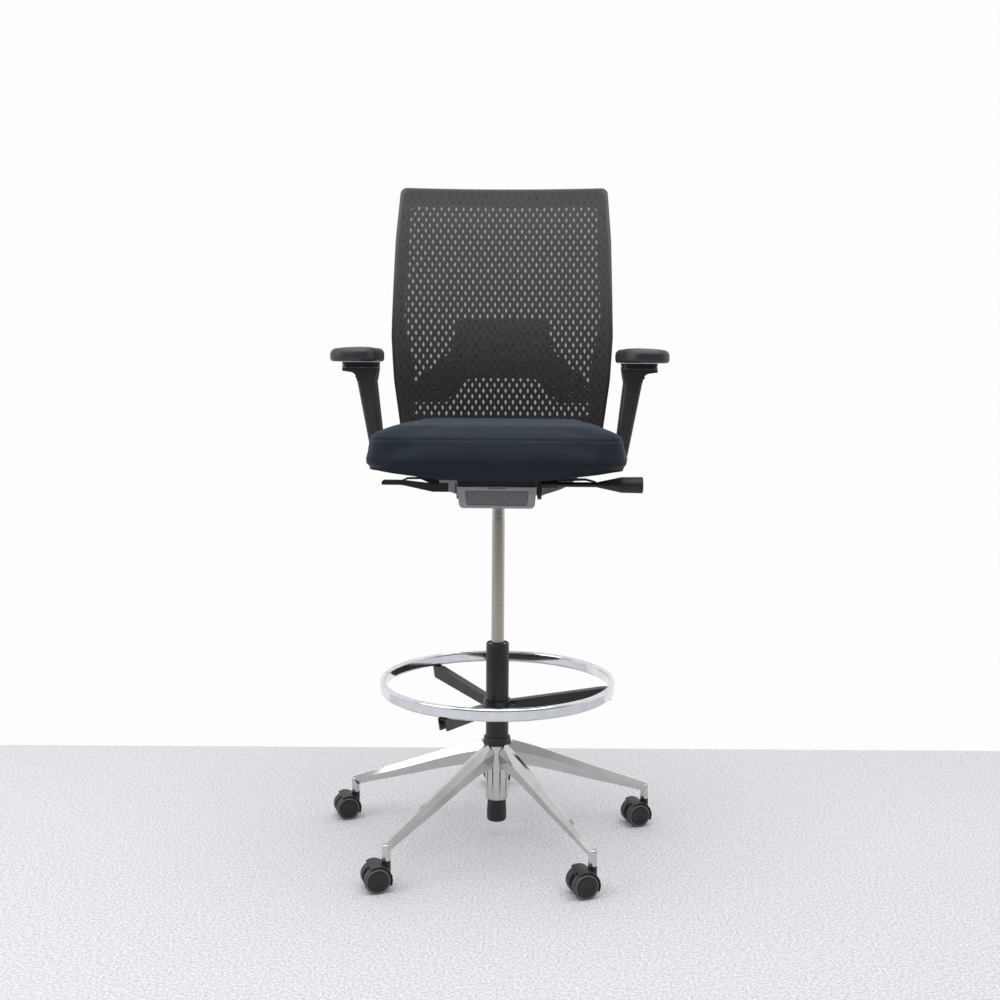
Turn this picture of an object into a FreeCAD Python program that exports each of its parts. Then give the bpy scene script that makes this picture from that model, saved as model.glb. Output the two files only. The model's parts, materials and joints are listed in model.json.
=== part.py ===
import FreeCAD, Part
import math
import os

# Drafting chair: five-leg base on twin-wheel casters, gas lift, footring,
# synchronised tilt mechanism, padded seat, adjustable arms and a mesh back.
# Millimetres. +Z is up, the seat faces -Y, and +X is the left hand of the sitter.
# The origin is where the axis of the gas lift meets the floor.

# ---------------------------------------------------------------- clearances
RUNNING = 0.05            # radial, shaft turning or sliding in a bore
SEATED = 0.02             # radial, pin or tube seated in a bore
TAPER_GAP = 0.05          # radial, between seated tapers
FACE_GAP = 0.3            # between faces that slide past each other
SOFT_GAP = 0.4            # between padding and what carries it

# ---------------------------------------------------------------- casters
WHEEL_RADIUS = 26.0
WHEEL_WIDTH = 20.0
WHEEL_EDGE = 3.0          # rounding of the tread edges
WEB_WIDTH = 10.0          # plate between the two wheels
WHEEL_SIDE_GAP = 1.0
CASTER_TRAIL = 22.0       # stem axis to wheel axis
HOOD_GAP = 1.6
HOOD_WALL = 2.4
AXLE_RADIUS = 3.0
STEM_RADIUS = 5.5
STEM_BOSS_RADIUS = 9.0
CASTER_HEADROOM = 1.0     # boss top to the underside of the leg tip
CASTER_STEM_BOTTOM = 42.0
CASTER_HEADING = 250.0    # way that the wheels trail, degrees from +Y

# ---------------------------------------------------------------- base
LEG_COUNT = 5
BASE_TURN = -1.3          # base against the seat, degrees
LEG_HEADINGS = [36.0 + 72.0 * i + BASE_TURN for i in range(LEG_COUNT)]
STEM_CIRCLE = 351.0
LEG_TIP_RADIUS = 8.8
LEG_TIP_BOTTOM = 58.0
LEG_TIP_TOP = 92.0
# along a leg: radius, drop below the hub's top, depth, wider than LEG_WIDTH
LEG_SECTIONS = ((12, -10, 60, 5), (60, 4, 50, 2), (150, 39, 39, 0), (250, 80, 29, -2),
                (STEM_CIRCLE + 4, 122, 21, -5))
STEM_SOCKET_DEPTH = 26.0
LEG_TOP_FACET = 8.0
LEG_WIDTH = 23.0
LEG_SOLE = 15.0
HUB_TOP = 216.0
HUB_BOTTOM = 90.0
HUB_TOP_RADIUS = 30.0
HUB_WAIST_RADIUS = 26.0
HUB_WAIST = 167.0
HUB_BOTTOM_RADIUS = 24.5
COLLAR_HEIGHT = 16.0
COLLAR_BOTTOM_WALL = 7.0
COLLAR_TOP_WALL = 3.5

# ---------------------------------------------------------------- gas lift
TUBE_RADIUS = 25.0
TUBE_WALL = 2.0
TUBE_TOP = 442.0
TAPER_TOP_RADIUS = 21.5
TAPER_BOTTOM_RADIUS = 20.0
TAPER_BORE = 17.5
TAIL_RADIUS = 18.0
TAIL_BOTTOM = 60.0
TAIL_FLOOR = 4.0
THRUST_BOTTOM = TAIL_BOTTOM + TAIL_FLOOR
THRUST_HEIGHT = 7.0
CAP_RADIUS = 21.8
CAP_BOTTOM = 40.0
BUSH_LENGTH = 80.0
BUSH_RECESS = 4.0
CYLINDER_RADIUS = 14.0
CYLINDER_BORE = 12.0
CYLINDER_BOTTOM = 357.0
CYLINDER_SHOULDER = 709.0
CYLINDER_TOP = 772.0
CYLINDER_TIP_RADIUS = 13.2
CYLINDER_SHOULDER_RADIUS = 13.6
CYLINDER_SEAL = 8.0
ROD_BOTTOM = 48.0
CLIP_THICKNESS = 2.0
ROD_RADIUS = 5.0
PISTON_HEIGHT = 10.0
LIFT_STROKE = 255.0
VALVE_PIN_RADIUS = 4.0
VALVE_PIN_TOP = 776.5
VALVE_HOLE_BOTTOM = CYLINDER_TOP - 26.0
VALVE_TRAVEL = 4.0

# ---------------------------------------------------------------- footring
RING_OUTER = 257.0
RING_WIDTH = 12.0
RING_HEIGHT = 27.0
RING_BOTTOM = 337.5
RING_WALL = 1.8
SPOKE_HEADINGS = (-24.0, 96.0, 216.0)   # degrees from -Y towards +X
SPOKE_WIDTH = 18.0
SPOKE_WALL = 2.5
RING_HUB_BOTTOM = 290.0
RING_HUB_TOP = 314.0
RING_HUB_WALL = 6.0
RING_HUB_RADIUS = TUBE_RADIUS + RING_HUB_WALL
CLAMP_HEADING = 55.0
CLAMP_HEIGHT = (RING_HUB_BOTTOM + RING_HUB_TOP) / 2

# ---------------------------------------------------------------- mechanism
HOUSING_FRONT = -120.0
HOUSING_REAR = 105.0
HOUSING_TOP = 795.0
HOUSING_REAR_TOP = 762.0
HOUSING_BOTTOM = 751.0
HOUSING_TOP_HALF = 82.0
HOUSING_BOTTOM_HALF = 78.0
HOUSING_WALL = 6.0
PANEL_INSET = 5.0
BOSS_RADIUS = 22.0
BOSS_BOTTOM = 743.0
SEAT_PIVOT = (-90.0, 788.0)      # y, z
SEAT_PIN_RADIUS = 5.0
BACK_PIVOT = (45.0, 768.0)
BACK_PIN_RADIUS = 6.0
SPRING_WIRE = 4.0
LEVER_PIN_RADIUS = 2.5
TENSION_AXIS = (-50.0, 795.0)
TENSION_SHAFT_RADIUS = 5.35
KNOB_RADIUS = 17.5
KNOB_END = 306.0
KNOB_START = 210.0
KNOB_SHOULDER = 261.0
LOCK_PIVOT = (-97.0, 786.0)      # x, z
LOCK_LEVER_Y = -53.0
DEPTH_PIVOT = (-110.0, 791.0)
DEPTH_LEVER_Y = -15.0
HEIGHT_PIVOT = (66.0, 780.0)
LEVER_HALF = 10.0
LUG_INNER = 8.0
LUG_OUTER = 14.0
SEAT_PIN_HALF = 79.0
BACK_PIN_HALF = 94.0

# ---------------------------------------------------------------- seat
CARRIER_BOTTOM = 797.0
CARRIER_TOP = 818.0
CARRIER_HALF = 81.0
RAIL_WIDTH = 21.0
CARRIER_REAR = 140.0
SEAT_FRONT = -250.0
SEAT_REAR = 205.0
SEAT_FRONT_HALF = 268.0
SEAT_REAR_HALF = 222.0
SEAT_WIDEST = -130.0
CUSHION_BOTTOM = 842.0
CUSHION_TOP = 934.0
CUSHION_ROLL = 34.0
PAN_THICKNESS = 5.0
BELLY_HALF = 100.0
BELLY_BOTTOM = 820.0

# ---------------------------------------------------------------- arms
ARM_Y = 33.0
ARM_LEAN = 0.138          # sideways run per unit of height
ARM_FOOT = (261.6, 835.0)  # x, z of the post axis at the foot of the sleeve
POST_WIDTH = 11.0
POST_DEPTH = 34.0
POST_TOP = 1004.0
SLEEVE_TOP = 1038.0
SLEEVE_FOOT_WIDTH = 26.0
SLEEVE_HEAD_WIDTH = 42.0
SLEEVE_DEPTH = 52.0
FLANGE_INNER = 263.0
FLANGE_OUTER = 338.0
FLANGE_THICKNESS = 8.0
ARM_PLATE_THICKNESS = 12.0
ARM_PLATE_LENGTH = 76.0
BUTTON_HEIGHT = 1020.0
BUTTON_TRAVEL = 2.5
BUTTON_REACH = 25.0
PAD_INNER = 255.0
PAD_OUTER = 350.0
PAD_LENGTH = 260.0
PAD_THICKNESS = 31.0
PAD_ROLL = 11.0

# ---------------------------------------------------------------- back
BACK_TOP = 1457.0
BACK_BOTTOM = 884.0
# side edge of the back's front face: height, depth, half width
BACK_EDGE = ((870, 210, 231), (930, 200, 241), (1010, 189, 248), (1090, 186, 253),
             (1190, 201, 253), (1300, 232, 250.5), (1390, 264, 246), (1465, 293, 241))
BACK_HOLLOW = 31.0        # middle of the back behind its edges
BACK_SPAN = 262.0         # half chord of the hollow
FRAME_THICKNESS = 15.0
SIDE_BAR = 28.0
TOP_BAR = 40.0
BOTTOM_BAR = 40.0
FRAME_CORNER = 16.0
FOOT_HALF = 205.0         # half width between the frame's straight lower guides
GUIDE_TOP = 1050.0
MESH_THICKNESS = 1.4
MESH_EDGE = 6.5           # frame edge left bare beside the mesh
LUMBAR_SET_BACK = 6.0
LUMBAR_THICKNESS = 6.0
LUMBAR_FOOT = 958.0
LUMBAR_TOP = 1151.0
YOKE_CHEEK = (84.0, 93.0)
SCREW_RADIUS = 3.0
SCREW_X = 199.0
SCREW_HEIGHTS = (898.0, 918.0)
# the back's middle lies behind its edges; this is how far at the screws
SCREW_HOLLOW = BACK_HOLLOW * (1 - (SCREW_X / BACK_SPAN) ** 2)


def vec(x, y, z):
    return FreeCAD.Vector(x, y, z)


def box(x0, x1, y0, y1, z0, z1):
    return Part.makeBox(x1 - x0, y1 - y0, z1 - z0, vec(x0, y0, z0))


def round_bar(start, end, radius):
    axis = vec(*end) - vec(*start)
    return Part.makeCylinder(radius, axis.Length, vec(*start), axis)


def ring(outer, inner, z0, z1):
    return Part.makeCylinder(outer, z1 - z0, vec(0, 0, z0)).cut(
        Part.makeCylinder(inner, z1 - z0 + 2, vec(0, 0, z0 - 1)))


def outline(points, place):
    """Closed wire through (u, v, corner radius) points; place maps u, v to space."""
    edges = []
    ends = []
    count = len(points)
    for i in range(count):
        u, v, radius = points[i]
        before = points[i - 1]
        after = points[(i + 1) % count]
        if radius <= 0:
            ends.append((place(u, v), place(u, v)))
            continue
        a = (before[0] - u, before[1] - v)
        b = (after[0] - u, after[1] - v)
        la = math.hypot(*a)
        lb = math.hypot(*b)
        a = (a[0] / la, a[1] / la)
        b = (b[0] / lb, b[1] / lb)
        half = math.acos(a[0] * b[0] + a[1] * b[1]) / 2
        run = radius / math.tan(half)
        to_centre = radius / math.sin(half)
        mid = (a[0] + b[0], a[1] + b[1])
        lm = math.hypot(*mid)
        reach = (to_centre - radius) / lm
        start = place(u + a[0] * run, v + a[1] * run)
        end = place(u + b[0] * run, v + b[1] * run)
        crown = place(u + mid[0] * reach, v + mid[1] * reach)
        edges.append((i, Part.Arc(start, crown, end).toShape()))
        ends.append((start, end))
    arcs = dict(edges)
    chain = []
    for i in range(count):
        if i in arcs:
            chain.append(arcs[i])
        leave = ends[i][1]
        meet = ends[(i + 1) % count][0]
        if (leave - meet).Length > 1e-6:
            chain.append(Part.LineSegment(leave, meet).toShape())
    return Part.Wire(chain)


def plate_xy(points, z0, z1):
    wire = outline(points, lambda u, v: vec(u, v, z0))
    return Part.Face(wire).extrude(vec(0, 0, z1 - z0))


def plate_xz(points, y0, y1):
    wire = outline(points, lambda u, v: vec(u, y0, v))
    return Part.Face(wire).extrude(vec(0, y1 - y0, 0))


def plate_yz(points, x0, x1):
    wire = outline(points, lambda u, v: vec(x0, u, v))
    return Part.Face(wire).extrude(vec(x1 - x0, 0, 0))


def turned(points):
    """Solid of revolution about Z from (radius, height, corner radius) points."""
    wire = outline(points, lambda u, v: vec(u, 0, v))
    return Part.Face(wire).revolve(vec(0, 0, 0), vec(0, 0, 1), 360)


def both_sides(points):
    """Right half of an outline, from bottom to top, completed by its mirror image."""
    mirrored = [(-u, v, r) for u, v, r in reversed(points)]
    return list(points) + mirrored


def mirrored_x(shape):
    return shape.mirror(vec(0, 0, 0), vec(1, 0, 0))


def moved(shape, x, y, z):
    copy = shape.copy()
    copy.translate(vec(x, y, z))
    return copy


def spun(shape, degrees, centre=(0, 0, 0), axis=(0, 0, 1)):
    copy = shape.copy()
    copy.rotate(vec(*centre), vec(*axis), degrees)
    return copy


def heading(degrees, radius):
    """Point at a radius, in a direction counted from -Y towards +X."""
    angle = math.radians(degrees)
    return radius * math.sin(angle), -radius * math.cos(angle)


def one_solid(shape):
    """The shape's only solid, with seams between its own faces cleaned away."""
    clean = shape.removeSplitter()
    if len(clean.Solids) != 1:
        raise ValueError("expected one solid, found %d" % len(clean.Solids))
    return clean.Solids[0]


def save(name, *shapes):
    solids = []
    for shape in shapes:
        solids.extend(shape.Solids)
    for solid in solids:
        if not solid.isValid() or solid.Volume <= 0:
            raise ValueError("%s holds a bad solid" % name)
    whole = solids[0] if len(solids) == 1 else Part.makeCompound(solids)
    whole.exportStep("parts/%s.step" % name)


# ---------------------------------------------------------------- base
def leg_section(radius, top, depth, width):
    """Six-sided section of a leg, across the direction -Y."""
    facet = LEG_TOP_FACET / 2
    sole = LEG_SOLE / 2 * width / LEG_WIDTH
    shoulder = top - depth * 0.42
    corners = ((-facet, top), (facet, top), (width / 2, shoulder),
               (sole, top - depth), (-sole, top - depth), (-width / 2, shoulder))
    points = [vec(x, -radius, z) for x, z in corners]
    return Part.makePolygon(points + [points[0]])


def base_star():
    hub_height = HUB_TOP - HUB_BOTTOM
    hub = turned([(0, HUB_BOTTOM, 0), (HUB_BOTTOM_RADIUS, HUB_BOTTOM, 3), (HUB_WAIST_RADIUS, HUB_WAIST, 0),
                  (HUB_TOP_RADIUS, HUB_TOP, 2), (0, HUB_TOP, 0)])
    sections = [leg_section(radius, HUB_TOP - drop, depth, LEG_WIDTH + wider)
                for radius, drop, depth, wider in LEG_SECTIONS]
    leg = Part.makeLoft(sections, True, False)
    stub = turned([(0, LEG_TIP_BOTTOM, 0), (LEG_TIP_RADIUS, LEG_TIP_BOTTOM, 1),
                   (LEG_TIP_RADIUS, LEG_TIP_TOP, 4),
                   (0, LEG_TIP_TOP, 0)])
    leg = leg.fuse(moved(stub, 0, -STEM_CIRCLE, 0))
    star = hub
    for i in range(LEG_COUNT):
        star = star.fuse(spun(leg, LEG_HEADINGS[i]))
    above = Part.makeCylinder(HUB_TOP_RADIUS + 6, 60, vec(0, 0, HUB_TOP))
    star = star.cut(above)
    bore = Part.makeCone(TAPER_BOTTOM_RADIUS + TAPER_GAP, TAPER_TOP_RADIUS + TAPER_GAP, hub_height,
                         vec(0, 0, HUB_BOTTOM))
    star = star.cut(bore)
    for degrees in LEG_HEADINGS:
        x, y = heading(degrees, STEM_CIRCLE)
        star = star.cut(round_bar((x, y, LEG_TIP_BOTTOM - 1), (x, y, LEG_TIP_BOTTOM + STEM_SOCKET_DEPTH),
                                  STEM_RADIUS + RUNNING))
    return one_solid(star)


def base_collar():
    low = HUB_TOP + SEATED
    high = low + COLLAR_HEIGHT
    return turned([(TUBE_RADIUS + SEATED, low, 0), (TUBE_RADIUS + COLLAR_BOTTOM_WALL, low, 1),
                   (TUBE_RADIUS + COLLAR_TOP_WALL, high, 1.5), (TUBE_RADIUS + SEATED, high, 0)])


# ---------------------------------------------------------------- casters
def placed_caster(shape, number):
    """Caster built with its stem on Z and its wheels trailing to +Y."""
    x, y = heading(LEG_HEADINGS[number], STEM_CIRCLE)
    return moved(spun(shape, -CASTER_HEADING), x, y, 0)


def wheel(side):
    inner = WEB_WIDTH / 2 + WHEEL_SIDE_GAP
    disc = turned([(AXLE_RADIUS + RUNNING, 0, 0), (WHEEL_RADIUS, 0, WHEEL_EDGE),
                   (WHEEL_RADIUS, WHEEL_WIDTH, WHEEL_EDGE), (WHEEL_RADIUS * 0.72, WHEEL_WIDTH, 0),
                   (WHEEL_RADIUS * 0.68, WHEEL_WIDTH - 1, 0), (0, WHEEL_WIDTH - 1, 0),
                   (0, WHEEL_WIDTH - 4, 0), (AXLE_RADIUS + RUNNING, WHEEL_WIDTH - 4, 0)])
    disc = spun(disc, 90 * side, axis=(0, 1, 0))
    return moved(disc, side * inner, CASTER_TRAIL, WHEEL_RADIUS)


def caster_housing():
    hood_inner = WHEEL_RADIUS + HOOD_GAP
    hood_outer = hood_inner + HOOD_WALL
    half = WEB_WIDTH / 2 + WHEEL_SIDE_GAP + WHEEL_WIDTH - 1
    boss_top = LEG_TIP_BOTTOM - CASTER_HEADROOM
    axle = (CASTER_TRAIL, WHEEL_RADIUS)
    hood = round_bar((-half, *axle), (half, *axle), hood_outer).cut(
        round_bar((-half - 1, *axle), (half + 1, *axle), hood_inner))
    keep_front = box(-half - 1, half + 1, CASTER_TRAIL - hood_outer - 1, CASTER_TRAIL - 2,
                     WHEEL_RADIUS - 12,
                     WHEEL_RADIUS + hood_outer + 1)
    keep_top = box(-half - 1, half + 1, CASTER_TRAIL - 10, CASTER_TRAIL + 14, WHEEL_RADIUS + 8,
                   WHEEL_RADIUS + hood_outer + 1)
    hood = hood.common(keep_front.fuse(keep_top))
    web = round_bar((-WEB_WIDTH / 2, *axle), (WEB_WIDTH / 2, *axle), hood_outer - 0.5)
    web = web.common(box(-WEB_WIDTH, WEB_WIDTH, CASTER_TRAIL - hood_outer - 1, CASTER_TRAIL + 16,
                         WHEEL_RADIUS - 14,
                         WHEEL_RADIUS + hood_outer))
    boss = Part.makeCylinder(STEM_BOSS_RADIUS, boss_top - WHEEL_RADIUS - 10, vec(0, 0, WHEEL_RADIUS + 10))
    boss = boss.cut(round_bar((-half - 1, *axle), (-WEB_WIDTH / 2, *axle), hood_inner))
    boss = boss.cut(round_bar((WEB_WIDTH / 2, *axle), (half + 1, *axle), hood_inner))
    body = hood.fuse(web).fuse(boss)
    body = body.cut(Part.makeCylinder(STEM_RADIUS + SEATED, boss_top, vec(0, 0, CASTER_STEM_BOTTOM)))
    body = body.cut(round_bar((-half, *axle), (half, *axle), AXLE_RADIUS + SEATED))
    return one_solid(body)


def caster_pins():
    stem = turned([(0, CASTER_STEM_BOTTOM, 0), (STEM_RADIUS, CASTER_STEM_BOTTOM, 0.6),
                   (STEM_RADIUS, LEG_TIP_BOTTOM + STEM_SOCKET_DEPTH - 1.5, 1.5),
                   (0, LEG_TIP_BOTTOM + STEM_SOCKET_DEPTH - 1.5, 0)])
    reach = WEB_WIDTH / 2 + WHEEL_SIDE_GAP + WHEEL_WIDTH - 4 - FACE_GAP
    axle = round_bar((-reach, CASTER_TRAIL, WHEEL_RADIUS), (reach, CASTER_TRAIL, WHEEL_RADIUS), AXLE_RADIUS)
    stem = stem.cut(axle)
    return stem, axle


# ---------------------------------------------------------------- gas lift
def column_tube():
    inner = TUBE_RADIUS - TUBE_WALL
    tube = turned([(TAIL_RADIUS - 2.5, TAIL_BOTTOM + TAIL_FLOOR, 0),
                   (ROD_RADIUS + RUNNING, TAIL_BOTTOM + TAIL_FLOOR, 0),
                   (ROD_RADIUS + RUNNING, TAIL_BOTTOM, 0), (TAIL_RADIUS, TAIL_BOTTOM, 1),
                   (TAIL_RADIUS, HUB_BOTTOM - 1, 0), (TAPER_BOTTOM_RADIUS, HUB_BOTTOM - 1, 0),
                   (TAPER_BOTTOM_RADIUS, HUB_BOTTOM, 0), (TAPER_TOP_RADIUS, HUB_TOP, 0),
                   (TUBE_RADIUS, HUB_TOP + FACE_GAP, 0), (TUBE_RADIUS, TUBE_TOP, 3), (inner, TUBE_TOP, 0),
                   (inner, HUB_TOP + 14, 0), (TAPER_BORE, HUB_TOP + 2, 0), (TAPER_BORE, HUB_BOTTOM + 12, 0),
                   (TAIL_RADIUS - 2.5, HUB_BOTTOM - 2, 0)])
    return tube


def column_bearings():
    bore = CYLINDER_RADIUS + RUNNING
    outer = TUBE_RADIUS - TUBE_WALL - SEATED
    top = TUBE_TOP - BUSH_RECESS
    bush = turned([(bore, top - BUSH_LENGTH, 0), (outer, top - BUSH_LENGTH, 1), (outer, top, 1.5),
                   (bore, top, 0)])
    race = turned([(ROD_RADIUS + RUNNING, THRUST_BOTTOM, 0), (TAIL_RADIUS - 3, THRUST_BOTTOM, 1),
                   (TAIL_RADIUS - 3, THRUST_BOTTOM + THRUST_HEIGHT, 1),
                   (ROD_RADIUS + RUNNING, THRUST_BOTTOM + THRUST_HEIGHT, 0)])
    return bush, race


def column_end_cap():
    bore = TAIL_RADIUS + SEATED
    return turned([(0, CAP_BOTTOM, 0), (CAP_RADIUS - 0.5, CAP_BOTTOM, 5), (CAP_RADIUS, TAIL_BOTTOM, 0),
                   (TAPER_BOTTOM_RADIUS, HUB_BOTTOM - 1 - FACE_GAP, 0),
                   (bore, HUB_BOTTOM - 1 - FACE_GAP, 0),
                   (bore, TAIL_BOTTOM - SEATED, 0), (bore - 3, TAIL_BOTTOM - SEATED, 0),
                   (bore - 3, CAP_BOTTOM + 4, 0),
                   (0, CAP_BOTTOM + 4, 0)])


def piston_rod():
    piston_bottom = CYLINDER_BOTTOM + CYLINDER_SEAL + 1
    shoulder = THRUST_BOTTOM + THRUST_HEIGHT + FACE_GAP / 3
    clip_low = TAIL_BOTTOM - FACE_GAP - CLIP_THICKNESS
    return turned([(0, ROD_BOTTOM, 0), (ROD_RADIUS, ROD_BOTTOM, 1), (ROD_RADIUS, clip_low, 0),
                   (ROD_RADIUS - 1.5, clip_low, 0), (ROD_RADIUS - 1.5, TAIL_BOTTOM - FACE_GAP, 0),
                   (ROD_RADIUS, TAIL_BOTTOM - FACE_GAP, 0), (ROD_RADIUS, shoulder, 0),
                   (ROD_RADIUS + 4, shoulder, 0), (ROD_RADIUS + 4, shoulder + 5, 1),
                   (ROD_RADIUS, shoulder + 5, 0),
                   (ROD_RADIUS, piston_bottom, 0), (CYLINDER_BORE - RUNNING, piston_bottom, 0.5),
                   (CYLINDER_BORE - RUNNING, piston_bottom + PISTON_HEIGHT, 0.5),
                   (0, piston_bottom + PISTON_HEIGHT, 0)])


def rod_clip():
    top = TAIL_BOTTOM - FACE_GAP - SEATED
    low = TAIL_BOTTOM - FACE_GAP - CLIP_THICKNESS + SEATED
    clip = ring(ROD_RADIUS + 5, ROD_RADIUS - 1.5 + SEATED, low, top)
    slot = box(-1.5, 1.5, 0, ROD_RADIUS + 6, low - 1, top + 1)
    return one_solid(clip.cut(slot))


def gas_cylinder():
    cavity_top = CYLINDER_BOTTOM + CYLINDER_SEAL + PISTON_HEIGHT + LIFT_STROKE + 12
    body = turned([(0, CYLINDER_BOTTOM, 0), (CYLINDER_RADIUS, CYLINDER_BOTTOM, 1.5),
                   (CYLINDER_RADIUS, CYLINDER_SHOULDER, 0.4),
                   (CYLINDER_SHOULDER_RADIUS, CYLINDER_SHOULDER, 0),
                   (CYLINDER_TIP_RADIUS, CYLINDER_TOP, 1), (0, CYLINDER_TOP, 0)])
    cavity = Part.makeCylinder(CYLINDER_BORE, cavity_top - CYLINDER_BOTTOM - CYLINDER_SEAL,
                               vec(0, 0, CYLINDER_BOTTOM + CYLINDER_SEAL))
    rod_hole = Part.makeCylinder(ROD_RADIUS + RUNNING, CYLINDER_SEAL + 2, vec(0, 0, CYLINDER_BOTTOM - 1))
    pin_hole = Part.makeCylinder(VALVE_PIN_RADIUS + RUNNING, 40, vec(0, 0, VALVE_HOLE_BOTTOM))
    return one_solid(body.cut(cavity).cut(rod_hole).cut(pin_hole))


def valve_pin():
    low = VALVE_HOLE_BOTTOM + VALVE_TRAVEL + 1
    return turned([(0, low, 0), (VALVE_PIN_RADIUS, low, 0.5), (VALVE_PIN_RADIUS, VALVE_PIN_TOP, 1),
                   (0, VALVE_PIN_TOP, 0)])


# ---------------------------------------------------------------- footring
def footring():
    radius = RING_WIDTH / 2 - 0.01
    inner = RING_OUTER - RING_WIDTH
    top = RING_BOTTOM + RING_HEIGHT
    skin = turned([(inner, RING_BOTTOM, radius), (RING_OUTER, RING_BOTTOM, radius),
                   (RING_OUTER, top, radius),
                   (inner, top, radius)])
    hollow_radius = radius - RING_WALL
    core = turned([(inner + RING_WALL, RING_BOTTOM + RING_WALL, hollow_radius),
                   (RING_OUTER - RING_WALL, RING_BOTTOM + RING_WALL, hollow_radius),
                   (RING_OUTER - RING_WALL, top - RING_WALL, hollow_radius),
                   (inner + RING_WALL, top - RING_WALL, hollow_radius)])
    return skin.cut(core)


def footring_spokes():
    hub = ring(RING_HUB_RADIUS, TUBE_RADIUS + RUNNING, RING_HUB_BOTTOM, RING_HUB_TOP)
    inner = TUBE_RADIUS + 2
    seat = RING_BOTTOM - 0.2
    end = RING_OUTER + 1
    side = [(inner, RING_HUB_BOTTOM, 0), (inner, RING_HUB_TOP - 2, 0), (end - 26, seat, 12), (end, seat, 0),
            (end - 8, seat - 27, 3)]
    spoke = plate_yz([(-u, v, r) for u, v, r in side], -SPOKE_WIDTH / 2, SPOKE_WIDTH / 2)
    groove = [(RING_HUB_RADIUS + 4, RING_HUB_BOTTOM - 6, 0), (RING_HUB_RADIUS + 4, RING_HUB_TOP - 6, 0),
              (end - 26, seat - SPOKE_WALL - 1, 0), (end + 9, seat - SPOKE_WALL - 1, 0),
              (end + 9, seat - 50, 0)]
    half = SPOKE_WIDTH / 2 - SPOKE_WALL
    spoke = spoke.cut(plate_yz([(-u, v, r) for u, v, r in groove], -half, half))
    body = hub
    for degrees in SPOKE_HEADINGS:
        body = body.fuse(spun(spoke, degrees))
    x, y = heading(CLAMP_HEADING, 1)
    boss = round_bar((x * (TUBE_RADIUS + 3), y * (TUBE_RADIUS + 3), CLAMP_HEIGHT),
                     (x * (RING_HUB_RADIUS + 4), y * (RING_HUB_RADIUS + 4), CLAMP_HEIGHT), 7)
    body = body.fuse(boss)
    body = body.cut(Part.makeCylinder(TUBE_RADIUS + RUNNING, 60, vec(0, 0, RING_HUB_BOTTOM - 10)))
    body = body.cut(round_bar((0, 0, CLAMP_HEIGHT), (x * 50, y * 50, CLAMP_HEIGHT), SCREW_RADIUS + SEATED))
    return one_solid(body)


def footring_clamp_screw():
    x, y = heading(CLAMP_HEADING, 1)
    start = TUBE_RADIUS + 0.1
    face = RING_HUB_RADIUS + 4 + FACE_GAP
    shank = round_bar((x * start, y * start, CLAMP_HEIGHT), (x * (face + 2), y * (face + 2), CLAMP_HEIGHT),
                      SCREW_RADIUS)
    head = round_bar((x * face, y * face, CLAMP_HEIGHT),
                     (x * (face + 11), y * (face + 11), CLAMP_HEIGHT), 7.5)
    return one_solid(shank.fuse(head))


# ---------------------------------------------------------------- mechanism
def cross_pin(pivot, radius, half):
    return round_bar((-half, pivot[0], pivot[1]), (half, pivot[0], pivot[1]), radius)


def lever_pin(pivot, y_low, y_high, radius=LEVER_PIN_RADIUS):
    return round_bar((pivot[0], y_low, pivot[1]), (pivot[0], y_high, pivot[1]), radius)


def panel_outline(margin):
    low = HOUSING_BOTTOM + 7 - margin
    high = HOUSING_TOP - 9 + margin
    low_half = HOUSING_BOTTOM_HALF - 17 + margin
    high_half = HOUSING_TOP_HALF - 17 + margin
    return both_sides([(low_half, low, 3), (high_half, high, 3)])


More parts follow.
